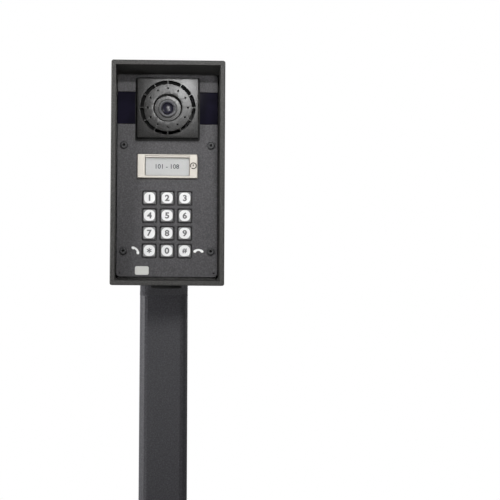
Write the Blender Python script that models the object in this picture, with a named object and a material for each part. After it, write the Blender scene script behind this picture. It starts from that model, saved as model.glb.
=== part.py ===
"""Gate intercom post: a floor plate, a goose-neck post of square tube, and an intercom head
with a rain hood, a camera and speaker block, a call button and a twelve-key keypad.

Run with: blender --background --python part.py

Lengths are in metres and +Z is up. Seen from the front, +X is to the right, and the front
faces -Y. "Forward" below is the distance in front of the upright's axis, and the origin is on
the ground, in the middle of the whole object's outline.
"""

import math

import bmesh
import bpy
from mathutils import Matrix, Vector

# Clearance between pieces that touch, and room round a piece that slides
GAP = 0.0003
SLIDE_GAP = 0.0004

# Floor plate
PLATE_SIDE = 0.200
PLATE_THICK = 0.008
PLATE_CORNER = 0.010
PLATE_CHAMFER = 0.0008
ANCHOR_SPACING = 0.150
ANCHOR_HOLE_DIAMETER = 0.014
FLOOR_CABLE_HOLE_DIAMETER = 0.036

# Post: a square upright, then a shallower neck that slopes forward and ends level
TUBE_SIDE = 0.050
TUBE_WALL = 0.003
TUBE_CORNER = 0.008
NECK_DEPTH = 0.043
NECK_SLOPE = math.radians(45)
KNEE_HEIGHT = 1.015
ARM_RISE = 0.106
ARM_REACH = 0.183
FLARE_LENGTH = 0.0515
FLARE_DEPTH = 0.1205
WELD_LEG = 0.005
WELD_TOE = 0.0008

# Earth stud, low on the upright's front
EARTH_HEIGHT = 0.030
EARTH_STUD_DIAMETER = 0.006
EARTH_STUD_REACH = 0.008
EARTH_HEAD_DIAMETER = 0.010
EARTH_HEAD_THICK = 0.0018
EARTH_WASHER_DIAMETER = 0.0124
EARTH_WASHER_THICK = 0.0015
EARTH_NUT_ACROSS_FLATS = 0.010
EARTH_NUT_THICK = 0.0042

# Mounting plate welded to the neck, and the gasket in front of it
MOUNT_PLATE_THICK = 0.0047
MOUNT_PLATE_ABOVE_HEAD = 0.0022
MOUNT_PLATE_BELOW_FLARE = 0.009
MOUNT_PLATE_CORNER = 0.004
BACK_GASKET_THICK = 0.001
BACK_GASKET_WIDTH = 0.006
NECK_CABLE_HOLE_DIAMETER = 0.028
NECK_CABLE_HOLE_DROP = 0.036

# Head housing, a casting that is deeper at the top than at the bottom
HEAD_CORNER = 0.002
HEAD_ABOVE_PANEL = 0.0078
HEAD_BELOW_PLATE = 0.0005
HOOD_LEAN = 0.0225
ROOF_FALL = 0.0028
FLOOR_FALL = 0.0108
HEAD_RIM = 0.0045
HEAD_BACK_WALL = 0.003
RIM_CHAMFER = 0.0007
LEDGE_WIDTH = 0.004
LEDGE_BOTTOM = 0.0052
LEDGE_TOP = 0.003
HEAD_SCREW_SIDE_INSET = 0.0165
HEAD_SCREW_INSET = 0.0065
BOSS_DIAMETER = 0.0104
STANDOFF_DIAMETER = 0.006
STANDOFF_HEIGHT = 0.006

# Blanking plug in the head's underside
PLUG_HEAD_DIAMETER = 0.030
PLUG_HEAD_THICK = 0.0035
PLUG_CHAMFER = 0.0009
PLUG_STUD_DIAMETER = 0.0244
PLUG_STUD_LENGTH = 0.0072
PLUG_FORWARD = 0.0159
PLUG_SLOT_LENGTH = 0.018
PLUG_SLOT_WIDTH = 0.004
PLUG_SLOT_DEPTH = 0.0015

# Front panel, set back inside the hood
PANEL_SIDE_GAP = 0.0015
PANEL_ABOVE_BLOCK = 0.0046
PANEL_THICK = 0.003
PANEL_CORNER = 0.0035
PANEL_SETBACK = 0.040
PANEL_GASKET_THICK = 0.0007
PANEL_GASKET_WIDTH = 0.0018
PANEL_SCREW_INSET = 0.0065
PANEL_SCREW_DROP = 0.006
PANEL_SCREW_RISE = 0.0247

# Button-head screws, used for the panel and, inside, for the housing
SCREW_SHANK_DIAMETER = 0.004
SCREW_HEAD_DIAMETER = 0.008
SCREW_HEAD_THICK = 0.0022
SCREW_SOCKET_ACROSS = 0.0025
SCREW_SOCKET_DEPTH = 0.0013
PANEL_SCREW_LENGTH = 0.012

# Camera and speaker block on the panel
BLOCK_MARGIN = 0.0031
BLOCK_ABOVE_BUTTON = 0.0151
BLOCK_PROUD = 0.008
BLOCK_CORNER = 0.0012
BLOCK_CHAMFER = 0.0005
BLOCK_FACE_THICK = 0.0035
BLOCK_WALL = 0.0028
BLOCK_FOOT = 0.0012
BLOCK_FOOT_INSET = 0.001
WELL_TO_SLOTS = 0.0108
SLOT_WIDTH = 0.0031
SLOT_COUNT = 12
SLOT_BRIDGE = 0.002
DOTS_INSIDE_SLOTS = 0.0042
DOT_DIAMETER = 0.0016
WELL_DIAMETER = 0.0254
WELL_CHAMFER = 0.0012
WELL_DEPTH = 0.0072
LENS_TUBE_WALL = 0.0016
LENS_TUBE_LENGTH = 0.0095
BARREL_DIAMETER = 0.018
BARREL_FLANGE_THICK = 0.001
BARREL_SETBACK = 0.0018
BARREL_SPIGOT_DIAMETER = 0.0184
BARREL_RIM = 0.0011
LIGHT_RING_DIAMETER = 0.0152
LIGHT_RING_BORE = 0.0118
LIGHT_RING_THICK = 0.0012
LENS_DIAMETER = 0.0112
LENS_BULGE = 0.0016
LENS_BODY_LENGTH = 0.004
CAMERA_BOARD_SIDE = 0.026
BOARD_THICK = 0.0016

# Speaker behind the block, on a ring wall of the panel
SPEAKER_HOLE_MARGIN = 0.002
SPEAKER_RING_WALL = 0.0025
SPEAKER_RING_LENGTH = 0.0075
SPEAKER_FLANGE_THICK = 0.0015
SPEAKER_DEPTH = 0.0187
SPEAKER_SPACE = 0.0025
SPEAKER_MAGNET_DIAMETER = 0.028
SPEAKER_MAGNET_THICK = 0.005
SPEAKER_CAP_DIAMETER = 0.016

# Infrared windows beside the block, and the boards behind them
WINDOW_WIDTH = 0.0202
WINDOW_HEIGHT = 0.0319
WINDOW_RISE = 0.00135
WINDOW_UNDER_BLOCK = 0.0014
WINDOW_SINK = 0.0003
IR_BOARD_INSET = 0.0025
IR_BOARD_OUTER_INSET = 0.004
IR_BOARD_THICK = 0.0014
IR_DIODE_DIAMETER = 0.0044
IR_DIODE_LENGTH = 0.0022
IR_DIODE_COLUMNS = 2
IR_DIODE_ROWS = 3

# Call button with its label card
BUTTON_WIDTH = 0.058
BUTTON_HEIGHT = 0.0235
BUTTON_ABOVE_KEYS = 0.0122
BUTTON_PROUD = 0.003
BUTTON_CORNER = 0.0008
BUTTON_CHAMFER = 0.0004
BUTTON_HOLE_MARGIN = 0.0005
BUTTON_FLANGE_MARGIN = 0.002
CARD_WIDTH = 0.0424
CARD_HEIGHT = 0.0188
CARD_THICK = 0.0004
CARD_WINDOW_THICK = 0.001
CARD_WINDOW_SINK = 0.0002
CARD_RISE = 0.0003

# Keypad
KEY_ROWS = (("1", "2", "3"), ("4", "5", "6"), ("7", "8", "9"), ("star", "0", "hash"))
KEY_PITCH = 0.017
KEY_ROW_PITCH = 0.0172
KEYPAD_RISE = 0.0251
KEY_SIDE = 0.0118
KEY_CORNER = 0.0016
KEY_FACE_DIAMETER = 0.0104
KEY_PROUD = 0.0018
KEY_SHOULDER = 0.0009
KEY_POCKET_SIDE = 0.0144
KEY_POCKET_DEPTH = 0.0012
KEY_FLANGE_MARGIN = 0.0009
FLANGE_THICK = 0.0012
TRAVEL = 0.001

# Parts behind the panel
SWITCH_SIDE = 0.006
SWITCH_HEIGHT = 0.0012
MAT_THICK = 0.0006
MAT_MARGIN = 0.003
DOME_DIAMETER = 0.008
DOME_TOP_DIAMETER = 0.0045
FRONT_BOARD_WIDTH = 0.066
FRONT_BOARD_SETBACK = 0.005
FRONT_BOARD_RISE = 0.0117
FRONT_BOARD_ABOVE_BUTTON = 0.0086
POST_DIAMETER = 0.005
POST_INSET = 0.003
MAIN_BOARD_INSIDE_SCREWS = 0.003
MAIN_BOARD_HEIGHT = 0.080
MAIN_BOARD_DROP = 0.006
STANDOFF_INSET = 0.005
TERMINAL_WIDTH = 0.030
TERMINAL_HEIGHT = 0.008
TERMINAL_DEPTH = 0.008
TERMINAL_WAYS = 6
TERMINAL_SCREW_DIAMETER = 0.0032
MICROPHONE_INSET = 0.0035
MICROPHONE_RISE = 0.0038
MICROPHONE_DIAMETER = 0.0076
MICROPHONE_LENGTH = 0.0095
MICROPHONE_HOLE_DIAMETER = 0.0016
TAMPER_INSET = 0.009
TAMPER_RISE = 0.0687
TAMPER_WIDTH = 0.008
TAMPER_TALL = 0.010
TAMPER_PLUNGER_DIAMETER = 0.003
TAMPER_PLUNGER_LENGTH = 0.005

# The block's rings stand round the camera's well, and the block round its rings
SLOT_INNER_RADIUS = WELL_DIAMETER / 2 + WELL_TO_SLOTS
SLOT_OUTER_RADIUS = SLOT_INNER_RADIUS + SLOT_WIDTH
DOT_RADIUS_OF_RING = SLOT_INNER_RADIUS - DOTS_INSIDE_SLOTS
BLOCK_SIDE = 2 * (SLOT_OUTER_RADIUS + BLOCK_MARGIN)
SPEAKER_HOLE_DIAMETER = 2 * (SLOT_INNER_RADIUS + SPEAKER_HOLE_MARGIN)

# Heights worked out from the sizes above. The neck carries the mounting plate and the head, and
# the panel is as tall as the controls stacked on it: keypad, call button, camera block.
ARM_TOP = KNEE_HEIGHT + ARM_RISE
NECK_CABLE_HOLE_HEIGHT = ARM_TOP - NECK_CABLE_HOLE_DROP
MOUNT_PLATE_BOTTOM = ARM_TOP - FLARE_DEPTH - MOUNT_PLATE_BELOW_FLARE
HEAD_REAR_BOTTOM = MOUNT_PLATE_BOTTOM - HEAD_BELOW_PLATE
PANEL_BOTTOM = HEAD_REAR_BOTTOM + GAP
KEY_BOTTOM_ROW_HEIGHT = PANEL_BOTTOM + KEYPAD_RISE
KEY_TOP_ROW_HEIGHT = KEY_BOTTOM_ROW_HEIGHT + (len(KEY_ROWS) - 1) * KEY_ROW_PITCH
BUTTON_BOTTOM = KEY_TOP_ROW_HEIGHT + KEY_POCKET_SIDE / 2 + BUTTON_ABOVE_KEYS
BUTTON_CENTRE_HEIGHT = BUTTON_BOTTOM + BUTTON_HEIGHT / 2
BUTTON_TOP = BUTTON_BOTTOM + BUTTON_HEIGHT
BLOCK_BOTTOM = BUTTON_TOP + BLOCK_ABOVE_BUTTON
BLOCK_HEIGHT = BLOCK_BOTTOM + BLOCK_SIDE / 2
PANEL_TOP = BLOCK_BOTTOM + BLOCK_SIDE + PANEL_ABOVE_BLOCK
HEAD_REAR_TOP = PANEL_TOP + HEAD_ABOVE_PANEL
MOUNT_PLATE_TOP = HEAD_REAR_TOP + MOUNT_PLATE_ABOVE_HEAD
PANEL_SCREW_HEIGHTS = (BLOCK_BOTTOM - PANEL_SCREW_DROP, PANEL_BOTTOM + PANEL_SCREW_RISE)
WINDOW_BOTTOM = BLOCK_HEIGHT + WINDOW_RISE - WINDOW_HEIGHT / 2
WINDOW_TOP = WINDOW_BOTTOM + WINDOW_HEIGHT
FRONT_BOARD_BOTTOM = PANEL_BOTTOM + FRONT_BOARD_RISE
FRONT_BOARD_TOP = BUTTON_TOP + FRONT_BOARD_ABOVE_BUTTON
MAIN_BOARD_TOP = PANEL_TOP - MAIN_BOARD_DROP
MAIN_BOARD_BOTTOM = MAIN_BOARD_TOP - MAIN_BOARD_HEIGHT
MICROPHONE_HEIGHT = PANEL_BOTTOM + MICROPHONE_RISE
TAMPER_HEIGHT = PANEL_BOTTOM + TAMPER_RISE

# Widths, and places to either side of the middle, worked out from the sizes above
PANEL_WIDTH = BLOCK_SIDE + 2 * (WINDOW_WIDTH - WINDOW_UNDER_BLOCK)
HEAD_WIDTH = PANEL_WIDTH + 2 * (HEAD_RIM + PANEL_SIDE_GAP)
HEAD_SCREW_X = HEAD_WIDTH / 2 - HEAD_SCREW_SIDE_INSET
PANEL_SCREW_X = PANEL_WIDTH / 2 - PANEL_SCREW_INSET
WINDOW_INNER_X = BLOCK_SIDE / 2 - WINDOW_UNDER_BLOCK
IR_BOARD_OUTER_X = PANEL_WIDTH / 2 - IR_BOARD_OUTER_INSET
MICROPHONE_X = PANEL_WIDTH / 2 - MICROPHONE_INSET
TAMPER_X = PANEL_WIDTH / 2 - TAMPER_INSET
MAIN_BOARD_WIDTH = 2 * (HEAD_SCREW_X - MAIN_BOARD_INSIDE_SCREWS)

# Places worked out from the sizes above, as distances forward of the upright's axis
SCREW_HOLE_DIAMETER = SCREW_SHANK_DIAMETER + 2 * GAP
MOUNT_PLATE_BACK = ARM_REACH + GAP
MOUNT_PLATE_FRONT = MOUNT_PLATE_BACK + MOUNT_PLATE_THICK
BACK_GASKET_BACK = MOUNT_PLATE_FRONT + GAP
HEAD_BACK = BACK_GASKET_BACK + BACK_GASKET_THICK + GAP
CAVITY_BACK = HEAD_BACK + HEAD_BACK_WALL
MAIN_BOARD_BACK = CAVITY_BACK + STANDOFF_HEIGHT + GAP
MAIN_BOARD_FRONT = MAIN_BOARD_BACK + BOARD_THICK
SPEAKER_BACK = MAIN_BOARD_FRONT + SPEAKER_SPACE
SPEAKER_FRONT = SPEAKER_BACK + SPEAKER_DEPTH
PANEL_BACK = SPEAKER_FRONT + GAP + SPEAKER_RING_LENGTH
PANEL_FRONT = PANEL_BACK + PANEL_THICK
HEAD_FRONT = PANEL_FRONT + PANEL_SETBACK
HEAD_TOP_DEPTH = HEAD_FRONT - HEAD_BACK
HEAD_BOTTOM_DEPTH = HEAD_TOP_DEPTH - HOOD_LEAN
PANEL_MIDDLE = (PANEL_BOTTOM + PANEL_TOP) / 2
LEDGE_FRONT = PANEL_BACK - PANEL_GASKET_THICK - 2 * GAP
CAVITY_HALF_WIDTH = HEAD_WIDTH / 2 - HEAD_RIM - LEDGE_WIDTH
CAVITY_BOTTOM = PANEL_BOTTOM + LEDGE_BOTTOM
CAVITY_TOP = PANEL_TOP - LEDGE_TOP
BLOCK_BACK = PANEL_FRONT + GAP
BLOCK_FRONT = PANEL_FRONT + BLOCK_PROUD
WELL_FLOOR = BLOCK_FRONT - WELL_DEPTH
LENS_TUBE_BACK = BLOCK_FRONT - BLOCK_FACE_THICK - LENS_TUBE_LENGTH
FLANGE_FRONT = PANEL_BACK - GAP
FLANGE_BACK = FLANGE_FRONT - FLANGE_THICK
SWITCH_TOP = FLANGE_BACK - TRAVEL - GAP
FRONT_BOARD_FRONT = PANEL_BACK - FRONT_BOARD_SETBACK
FRONT_BOARD_BACK = FRONT_BOARD_FRONT - BOARD_THICK
AXIS_Y = (HEAD_FRONT - PLATE_SIDE / 2) / 2

# Facets: a round outline pairs point by point with a rounded square
CORNER_STEPS = 4
ROUND = 4 * (CORNER_STEPS + 1)
FINE_ROUND = 28
SMALL_ROUND = 12
TINY_ROUND = 8


def clear_scene():
    for thing in list(bpy.data.objects):
        bpy.data.objects.remove(thing, do_unlink=True)


def make_material(name, colour, roughness, metallic=0.0):
    material = bpy.data.materials.new(name)
    material.use_nodes = True
    shader = material.node_tree.nodes["Principled BSDF"]
    shader.inputs["Base Color"].default_value = (*colour, 1.0)
    shader.inputs["Roughness"].default_value = roughness
    shader.inputs["Metallic"].default_value = metallic
    material.diffuse_color = (*colour, 1.0)
    return material


def make_materials():
    return {
        "post_paint": make_material("post_paint", (0.055, 0.055, 0.06), 0.55),
        "head_paint": make_material("head_paint", (0.10, 0.10, 0.095), 0.6),
        "panel_paint": make_material("panel_paint", (0.075, 0.072, 0.08), 0.65),
        "steel": make_material("steel", (0.55, 0.55, 0.56), 0.3, 1.0),
        "black_screw": make_material("black_screw", (0.03, 0.03, 0.03), 0.4, 0.8),
        "satin_metal": make_material("satin_metal", (0.75, 0.73, 0.70), 0.3, 1.0),
        "rubber": make_material("rubber", (0.02, 0.02, 0.02), 0.8),
        "key_plastic": make_material("key_plastic", (0.85, 0.85, 0.86), 0.4),
        "smoked_plastic": make_material("smoked_plastic", (0.008, 0.008, 0.02), 0.1),
        "lens_glass": make_material("lens_glass", (0.01, 0.01, 0.03), 0.02),
        "lens_metal": make_material("lens_metal", (0.10, 0.10, 0.10), 0.35, 0.6),
        "light_ring": make_material("light_ring", (0.45, 0.45, 0.45), 0.3, 0.8),
        "card": make_material("card", (0.6, 0.64, 0.64), 0.7),
        "clear_plastic": make_material("clear_plastic", (0.85, 0.9, 0.9), 0.1),
        "board": make_material("board", (0.02, 0.12, 0.05), 0.5),
        "black_plastic": make_material("black_plastic", (0.015, 0.015, 0.015), 0.5),
    }


def add_object(name, bm, material):
    """Turns a bmesh into a named object with its faces pointing out."""
    bmesh.ops.recalc_face_normals(bm, faces=bm.faces)
    mesh = bpy.data.meshes.new(name)
    bm.to_mesh(mesh)
    bm.free()
    mesh.materials.append(material)
    mesh.shade_smooth()
    mesh.set_sharp_from_angle(angle=math.radians(30))
    thing = bpy.data.objects.new(name, mesh)
    bpy.context.scene.collection.objects.link(thing)
    return thing


def boolean(target, tool, operation):
    """Cuts or joins with another object, which then stays as a hidden guide."""
    modifier = target.modifiers.new(tool.name, "BOOLEAN")
    modifier.operation = operation
    modifier.object = tool
    tool.hide_render = True
    tool.display_type = "WIRE"


def cut(target, tool):
    boolean(target, tool, "DIFFERENCE")


def join(target, tool):
    boolean(target, tool, "UNION")


def rounded_rectangle(width, height, radius, steps=CORNER_STEPS):
    """Outline round a centre at (0, 0), anticlockwise, with steps + 1 points a corner."""
    centres = ((1, 1), (-1, 1), (-1, -1), (1, -1))
    points = []
    for corner, (side, rise) in enumerate(centres):
        centre = Vector((side * (width / 2 - radius), rise * (height / 2 - radius)))
        for step in range(steps + 1):
            angle = math.radians(90) * (corner + step / steps)
            points.append(centre + radius * Vector((math.cos(angle), math.sin(angle))))
    return points


def circle(diameter, count=ROUND):
    """Outline of a circle, turned half a step so that it pairs with a rounded square."""
    angles = [math.tau * (index + 0.5) / count for index in range(count)]
    return [diameter / 2 * Vector((math.cos(angle), math.sin(angle))) for angle in angles]


def hexagon(across_flats):
    return circle(across_flats / math.cos(math.radians(30)), 6)


def facing(outline, forward, x=0.0, height=0.0):
    """An outline stood up to face the front, at a distance forward of the upright."""
    return [Vector((x + point.x, AXIS_Y - forward, height + point.y)) for point in outline]


def level(outline, height, forward=0.0):
    """An outline laid flat at a height, round a place forward of the upright."""
    return [Vector((point.x, AXIS_Y - forward + point.y, height)) for point in outline]


def leaning(outline, low, high, depth):
    """An outline whose height follows the line from low to high, as (forward, height) points.

    depth is the section's height square to the tube, so that a mitred end keeps the same
    corners as the tube's straight run.
    """
    points = []
    for point in outline:
        place = low.lerp(high, 0.5 + point.y / depth)
        points.append(Vector((point.x, AXIS_Y - place.x, place.y)))
    return points


def add_rings(bm, rings):
    return [[bm.verts.new(point) for point in ring] for ring in rings]


def bridge(bm, ring, other):
    count = len(ring)
    for index in range(count):
        after = (index + 1) % count
        bm.faces.new((ring[index], ring[after], other[after], other[index]))


def add_loft(bm, rings):
    """A closed solid through rings of equal length, capped at both ends."""
    rings = add_rings(bm, rings)
    for ring, other in zip(rings, rings[1:]):
        bridge(bm, ring, other)
    bm.faces.new(rings[0])
    bm.faces.new(rings[-1])


def add_hoop(bm, rings):
    """A closed solid through rings of equal length, the last joined to the first."""
    rings = add_rings(bm, rings)
    for ring, other in zip(rings, rings[1:] + rings[:1]):
        bridge(bm, ring, other)


def loft(name, rings, material):
    bm = bmesh.new()
    add_loft(bm, rings)
    return add_object(name, bm, material)


def hoop(name, rings, material):
    bm = bmesh.new()
    add_hoop(bm, rings)
    return add_object(name, bm, material)


def lofts(name, solids, material):
    """Several separate closed solids in one object, used to cut or to join."""
    bm = bmesh.new()
    for rings in solids:
        add_loft(bm, rings)
    return add_object(name, bm, material)


def slab(outline, back, front, x=0.0, height=0.0):
    """Rings of a plate that faces the front."""
    return [facing(outline, back, x, height), facing(outline, front, x, height)]


def turned(profile, x, height, count=ROUND):
    """Rings of a turned solid whose axis points forward, from (forward, diameter) steps."""
    return [facing(circle(diameter, count), forward, x, height) for forward, diameter in profile]


# Floor plate, upright and neck


def make_base_plate(material):
    side, rim = PLATE_SIDE, PLATE_CHAMFER
    full = rounded_rectangle(side, side, PLATE_CORNER)
    inner = rounded_rectangle(side - 2 * rim, side - 2 * rim, PLATE_CORNER - rim)
    rings = [
        level(inner, 0.0),
        level(full, rim),
        level(full, PLATE_THICK - rim),
        level(inner, PLATE_THICK),
    ]
    plate = loft("base_plate", rings, material)
    below, above = -PLATE_THICK, 2 * PLATE_THICK
    bores = []
    for x in (-ANCHOR_SPACING / 2, ANCHOR_SPACING / 2):
        for forward in (-ANCHOR_SPACING / 2, ANCHOR_SPACING / 2):
            outline = [point + Vector((x, 0)) for point in circle(ANCHOR_HOLE_DIAMETER)]
            bores.append([level(outline, below, forward), level(outline, above, forward)])
    outline = circle(FLOOR_CABLE_HOLE_DIAMETER)
    bores.append([level(outline, below), level(outline, above)])
    cut(plate, lofts("base_plate_bores", bores, material))


def make_foot_weld(material):
    start = TUBE_SIDE + 2 * GAP
    foot = PLATE_THICK + GAP

    def ring(spread, rise):
        outline = rounded_rectangle(start + 2 * spread, start + 2 * spread, TUBE_CORNER + spread)
        return level(outline, foot + rise)

    rings = [
        ring(0.0, 0.0),
        ring(WELD_LEG, 0.0),
        ring(WELD_LEG, WELD_TOE),
        ring(WELD_TOE, WELD_LEG),
        ring(0.0, WELD_LEG),
    ]
    hoop("foot_weld", rings, material)


def tube(name, stations, material):
    """A square tube through mitred stations, each (low, high, depth, low wall).

    low and high are (forward, height) points on the tube's under and upper side.
    """
    bm = bmesh.new()
    outer, inner = [], []
    for low, high, depth, low_wall in stations:
        outline = rounded_rectangle(TUBE_SIDE, depth, TUBE_CORNER)
        outer.append(leaning(outline, low, high, depth))
        bore_depth = depth - TUBE_WALL - low_wall
        bore = rounded_rectangle(TUBE_SIDE - 2 * TUBE_WALL, bore_depth, TUBE_CORNER - TUBE_WALL)
        shift = Vector((0, (low_wall - TUBE_WALL) / 2))
        inner.append(leaning([point + shift for point in bore], low, high, depth))
    add_hoop(bm, outer + inner[::-1])
    return add_object(name, bm, material)


def neck_corners():
    """The mitres at the knee and the elbow, as (under side, upper side) points."""
    half = TUBE_SIDE / 2
    drop = NECK_DEPTH / math.cos(NECK_SLOPE)
    knee_high = Vector((-half, KNEE_HEIGHT))
    knee_low = Vector((half, KNEE_HEIGHT + TUBE_SIDE * math.tan(NECK_SLOPE) - drop))
    arm_low = ARM_TOP - NECK_DEPTH
    elbow_high = Vector((-half + (ARM_TOP - KNEE_HEIGHT) / math.tan(NECK_SLOPE), ARM_TOP))
    elbow_low = Vector((half + (arm_low - knee_low.y) / math.tan(NECK_SLOPE), arm_low))
    return (knee_low, knee_high), (elbow_low, elbow_high)


def parted(mitre, along_low, along_high):
    """A mitre moved along each side of its tube, to leave half a gap across the joint."""
    low, high = mitre
    across = (high - low).normalized()
    normal = Vector((across.y, -across.x))
    ends = []
    for point, along in ((low, along_low), (high, along_high)):
        along = along.normalized()
        ends.append(point + along * (GAP / 2) / abs(along.dot(normal)))
    return ends


def make_post(material):
    up, slope = Vector((0, 1)), Vector((math.cos(NECK_SLOPE), math.sin(NECK_SLOPE)))
    forward = Vector((1, 0))
    knee, elbow = neck_corners()
    half = TUBE_SIDE / 2
    foot = PLATE_THICK + GAP
    wall = TUBE_WALL

    upright = tube(
        "upright_tube",
        [
            (Vector((half, foot)), Vector((-half, foot)), TUBE_SIDE, wall),
            (*parted(knee, -up, -up), TUBE_SIDE, wall),
        ],
        material,
    )
    hole = turned(
        [(0.0, EARTH_STUD_DIAMETER + 2 * GAP), (TUBE_SIDE, EARTH_STUD_DIAMETER + 2 * GAP)],
        0.0,
        EARTH_HEIGHT,
        SMALL_ROUND,
    )
    cut(upright, loft("earth_hole", hole, material))

    tube(
        "sloping_tube",
        [
            (*parted(knee, slope, slope), NECK_DEPTH, wall),
            (*parted(elbow, -slope, -slope), NECK_DEPTH, wall),
        ],
        material,
    )

    flare_start = ARM_REACH - FLARE_LENGTH
    flare_angle = math.atan2(FLARE_DEPTH - NECK_DEPTH, FLARE_LENGTH)
    flare_wall = TUBE_WALL / math.cos(flare_angle)
    tube(
        "neck_arm",
        [
            (*parted(elbow, forward, forward), NECK_DEPTH, wall),
            (
                Vector((flare_start, ARM_TOP - NECK_DEPTH)),
                Vector((flare_start, ARM_TOP)),
                NECK_DEPTH,
                wall,
            ),
            (
                Vector((ARM_REACH, ARM_TOP - FLARE_DEPTH)),
                Vector((ARM_REACH, ARM_TOP)),
                FLARE_DEPTH,
                flare_wall,
            ),
        ],
        material,
    )


def make_earth_stud(material):
    wall_front = TUBE_SIDE / 2
    head_front = wall_front - TUBE_WALL - GAP
    stud_end = wall_front + EARTH_STUD_REACH
    profile = [
        (head_front - EARTH_HEAD_THICK, EARTH_HEAD_DIAMETER),
        (head_front, EARTH_HEAD_DIAMETER),
        (head_front, EARTH_STUD_DIAMETER),
        (stud_end - 2 * GAP, EARTH_STUD_DIAMETER),
        (stud_end, EARTH_STUD_DIAMETER - 4 * GAP),
    ]
    loft("earth_stud", turned(profile, 0.0, EARTH_HEIGHT, SMALL_ROUND), material)

    bore = circle(EARTH_STUD_DIAMETER + 2 * GAP, SMALL_ROUND)
    washer_back = wall_front + GAP
    washer_front = washer_back + EARTH_WASHER_THICK
    rim = circle(EARTH_WASHER_DIAMETER, SMALL_ROUND)
    hoop(
        "earth_washer",
        slab(rim, washer_back, washer_front, 0.0, EARTH_HEIGHT)
        + slab(bore, washer_front, washer_back, 0.0, EARTH_HEIGHT),
        material,
    )
    nut_back = washer_front + GAP
    nut = loft(
        "earth_nut",
        slab(hexagon(EARTH_NUT_ACROSS_FLATS), nut_back, nut_back + EARTH_NUT_THICK, 0.0, EARTH_HEIGHT),
        material,
    )
    cut(nut, loft("earth_nut_bore", slab(bore, wall_front, stud_end, 0.0, EARTH_HEIGHT), material))


# Mounting plate, gasket and head housing


def head_screw_places():
    low, high = CAVITY_BOTTOM + HEAD_SCREW_INSET, CAVITY_TOP - HEAD_SCREW_INSET
    return [(x, height) for height in (high, low) for x in (-HEAD_SCREW_X, HEAD_SCREW_X)]


def panel_screw_places():
    return [(x, height) for height in PANEL_SCREW_HEIGHTS for x in (-PANEL_SCREW_X, PANEL_SCREW_X)]


def make_mounting_plate(material):
    tall = MOUNT_PLATE_TOP - MOUNT_PLATE_BOTTOM
    middle = (MOUNT_PLATE_TOP + MOUNT_PLATE_BOTTOM) / 2
    outline = rounded_rectangle(HEAD_WIDTH, tall, MOUNT_PLATE_CORNER)
    rings = slab(outline, MOUNT_PLATE_BACK, MOUNT_PLATE_FRONT, 0.0, middle)
    plate = loft("mounting_plate", rings, material)
    cut(plate, lofts("mounting_plate_bores", back_bores(ARM_REACH, CAVITY_BACK), material))


def back_bores(back, front):
    """The cable hole and the four screw holes that the plate and the back wall share."""
    cable = circle(NECK_CABLE_HOLE_DIAMETER)
    bores = [slab(cable, back, front, 0.0, NECK_CABLE_HOLE_HEIGHT)]
    bore = circle(SCREW_HOLE_DIAMETER, SMALL_ROUND)
    bores += [slab(bore, back, front, x, height) for x, height in head_screw_places()]
    return bores


def frame_rings(width, tall, corner, strip, back, front, middle):
    """Rings of a flat frame, to be made into a hoop."""
    outer = rounded_rectangle(width, tall, corner)
    inner = rounded_rectangle(width - 2 * strip, tall - 2 * strip, max(corner - strip, GAP))
    return slab(outer, back, front, 0.0, middle) + slab(inner, front, back, 0.0, middle)


def make_back_gasket(material):
    inset = HEAD_CORNER
    low, high = HEAD_REAR_BOTTOM + inset, HEAD_REAR_TOP - inset
    rings = frame_rings(
        HEAD_WIDTH - 2 * inset,
        high - low,
        MOUNT_PLATE_CORNER,
        BACK_GASKET_WIDTH,
        BACK_GASKET_BACK,
        BACK_GASKET_BACK + BACK_GASKET_THICK,
        (low + high) / 2,
    )
    hoop("back_gasket", rings, material)


def floor_height(forward):
    """Height of the housing's underside, which falls towards the front."""
    return HEAD_REAR_BOTTOM - FLOOR_FALL * (forward - HEAD_BACK) / HEAD_BOTTOM_DEPTH


def roof_height(forward):
    return HEAD_REAR_TOP - ROOF_FALL * (forward - HEAD_BACK) / HEAD_TOP_DEPTH


def head_ring(low_forward, high_forward, inset):
    """A ring round the housing between a place on its floor and one on its roof."""
    low = Vector((low_forward, floor_height(low_forward) + inset))
    high = Vector((high_forward, roof_height(high_forward) - inset))
    depth = high.y - low.y
    corner = max(HEAD_CORNER - inset, GAP)
    outline = rounded_rectangle(HEAD_WIDTH - 2 * inset, depth, corner)
    return leaning(outline, low, high, depth)


def make_housing(material):
    lip = RIM_CHAMFER
    bottom_front = HEAD_BACK + HEAD_BOTTOM_DEPTH
    rings = [
        head_ring(HEAD_BACK, HEAD_BACK, lip),
        head_ring(HEAD_BACK + lip, HEAD_BACK + lip, 0.0),
        head_ring(bottom_front - lip, HEAD_FRONT - lip, 0.0),
        head_ring(bottom_front, HEAD_FRONT, lip),
    ]
    housing = loft("housing", rings, material)

    past_front = HEAD_FRONT + HEAD_RIM
    recess = [
        head_ring(LEDGE_FRONT, LEDGE_FRONT, HEAD_RIM),
        head_ring(past_front, past_front, HEAD_RIM),
    ]
    cut(housing, loft("housing_recess", recess, material))

    cavity = rounded_rectangle(2 * CAVITY_HALF_WIDTH, CAVITY_TOP - CAVITY_BOTTOM, HEAD_CORNER)
    middle = (CAVITY_TOP + CAVITY_BOTTOM) / 2
    rings = slab(cavity, CAVITY_BACK, PANEL_BACK, 0.0, middle)
    cut(housing, loft("housing_cavity", rings, material))

    join(housing, lofts("housing_pillars", housing_pillars(), material))
    cut(housing, lofts("housing_bores", housing_bores(), material))
    cut(housing, loft("housing_plug_bore", plug_bore_rings(), material))


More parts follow.
